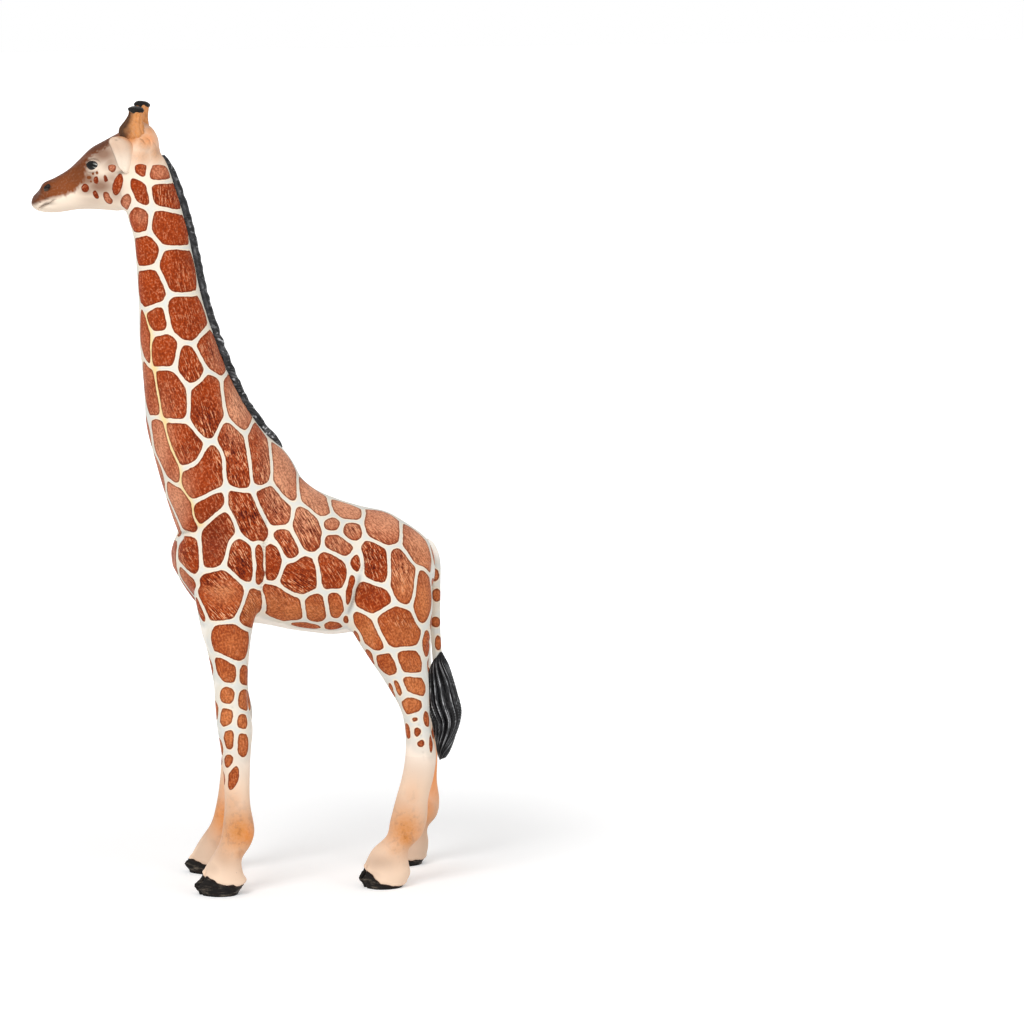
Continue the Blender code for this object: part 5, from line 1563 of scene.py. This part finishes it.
for sideName, side in (("Left", 1), ("Right", -1)):
    node = sideName.lower()
    rings, coords = earTube()
    mesh, _ = smoothTube("ear" + sideName, rings, side)
    along, v, outer = np.vstack([coords, [[0, 0, 1], [1, 0, 1]]]).T
    specks = np.exp(-((along - 0.80) / 0.035) ** 2 - ((v + 0.45) / 0.12) ** 2)
    specks = specks + np.exp(-((along - 0.88) / 0.02) ** 2 - ((v - 0.1) / 0.14) ** 2)
    high = smoothStep(along, 0.25, 0.60)
    warmth = np.maximum(0.74 * smoothStep(v, -0.4, 0.8) * smoothStep(along, 0.12, 0.6), 0.26 * high)
    # painted shade: grey and dark in the ear's hollow, and a dark line of shadow along its front edge
    hollow = smoothStep(-outer, 0.0, 0.3) * np.exp(-(v / 0.6) ** 2) * (1 - smoothStep(along, 0.75, 1.0))
    edgeShadow = 0.55 * smoothStep(-v, 0.955, 0.995) * smoothStep(along, 0.04, 0.16)
    dark = 0.5 * specks + 0.35 * hollow ** 2 + edgeShadow
    plainPaint(mesh, orange=warmth, grey=np.maximum(0.06 + 0.24 * high, 0.9 * hollow), deep=dark, face=1.0)
    addPiece("ear" + sideName, mesh, vinyl, "ear_" + node)

    rings, heights, rough, ahead = hornTube(side)
    mesh, _ = smoothTube("horn" + sideName, rings, side)
    ahead = ahead + 0.04 * rough
    shade = 0.30 * smoothStep(ahead, -0.15, 0.35) + 0.60 * smoothStep(ahead, 0.20, 0.70)
    shade = shade * (1 - smoothStep(heights, 4.2, 4.9))
    plainPaint(mesh, orange=0.95, deep=shade, face=1.0, ink=heights - 4.55 + 0.16 * rough)
    addPiece("horn" + sideName, mesh, vinyl, "horn_" + node)

    rings, coords = eyeTube()
    mesh, _ = smoothTube("eye" + sideName, rings, side)
    addAttributes(mesh, eyePlace=np.vstack([coords, [[0, 0, 1], [0, 0, -1]]]))
    addPiece("eye" + sideName, mesh, enamel, None)
print("ears, horns and eyes made")

# Light: a soft white studio, at a level at which a colour renders about as it is written
studio = {"world": 0.58, "lampSize": 0.40, "heart": (0, 0, 0.09), "floor": "#F2F2F2"}
# each lamp's place in metres and its watts
lamps = {
    "key": ((0.45, -0.35, 0.55), 2.5), "fill": ((0.45, 0.45, 0.25), 0.5), "low": ((0.55, -0.10, 0.03), 0.68),
}
plainWhite = (1, 1, 1, 1)
world = bpy.data.worlds.new("studio")
world.use_nodes = True
bpy.context.scene.world = world
air = world.node_tree
background = air.nodes["Background"]
rays = addNode(air, "LightPath", {}, {}).node.outputs
parts = {
    "camera": rays["Is Camera Ray"], "glossy": rays["Is Glossy Ray"], "passing": rays["Is Transmission Ray"],
}
addNodes(air, parts, [("seen", "MAXIMUM", "camera", "glossy"), ("seen", "MAXIMUM", "seen", "passing")])
white = addNode(air, "Background", {}, {"Color": plainWhite, "Strength": 1.0})
fillInputs(air, background, {"Color": plainWhite, "Strength": studio["world"]})
both = addNode(air, "MixShader", {}, {0: parts["seen"], 1: background.outputs[0], 2: white})
fillInputs(air, air.nodes["World Output"], {"Surface": both})

for name, (place, watts) in lamps.items():
    lamp = bpy.data.lights.new(name, "AREA")
    lamp.shape = "DISK"
    lamp.size = studio["lampSize"]
    lamp.energy = watts
    made = addObject(name, lamp)
    made.location = place
    made.rotation_euler = (Vector(studio["heart"]) - Vector(place)).to_track_quat("-Z", "Y").to_euler()

floorMesh = bpy.data.meshes.new("floor")
floorMesh.from_pydata([(-3, -3, 0), (3, -3, 0), (3, 3, 0), (-3, 3, 0)], [], [(0, 1, 2, 3)])
floor = addObject("floor", floorMesh)
floorPaint, floorTree, floorSurface = newMaterial("white studio floor")
rays = addNode(floorTree, "LightPath", {}, {}).node.outputs
place = addNode(floorTree, "TexCoord", {}, {}, "Object")
reach = addNode(floorTree, "VectorMath", {"operation": "LENGTH"}, {0: place}, "Value")
parts = {"camera": rays["Is Camera Ray"], "glossy": rays["Is Glossy Ray"], "reach": reach}
# the floor's own glow hides its far edge and leaves the shadow by the feet
addNodes(floorTree, parts, [
    ("seen", "MAXIMUM", "camera", "glossy"),
    ("glow", "step", "reach", 0.04, 0.30, 0.24, 0.80),
    ("glow", "MULTIPLY", "seen", "glow"),
])
fillInputs(floorTree, floorSurface, {
    "Base Color": studio["floor"], "Roughness": 0.9, "Emission Color": plainWhite,
    "Emission Strength": parts["glow"],
})
floor.data.materials.append(floorPaint)

camera = bpy.data.cameras.new("camera")
camera.sensor_width = photo["sensor"]
camera.lens = photo["sensor"] * photo["distance"] / (photo["size"] * photo["mmPerPixel"])
camera.clip_end = 10
view = addObject("camera", camera)
view.location = Vector(eyePoint * metresPerMm)
view.rotation_euler = Vector(-toCamera).to_track_quat("-Z", "Y").to_euler()
bpy.context.scene.camera = view
bpy.context.scene.view_settings.view_transform = "Standard"

print("done")
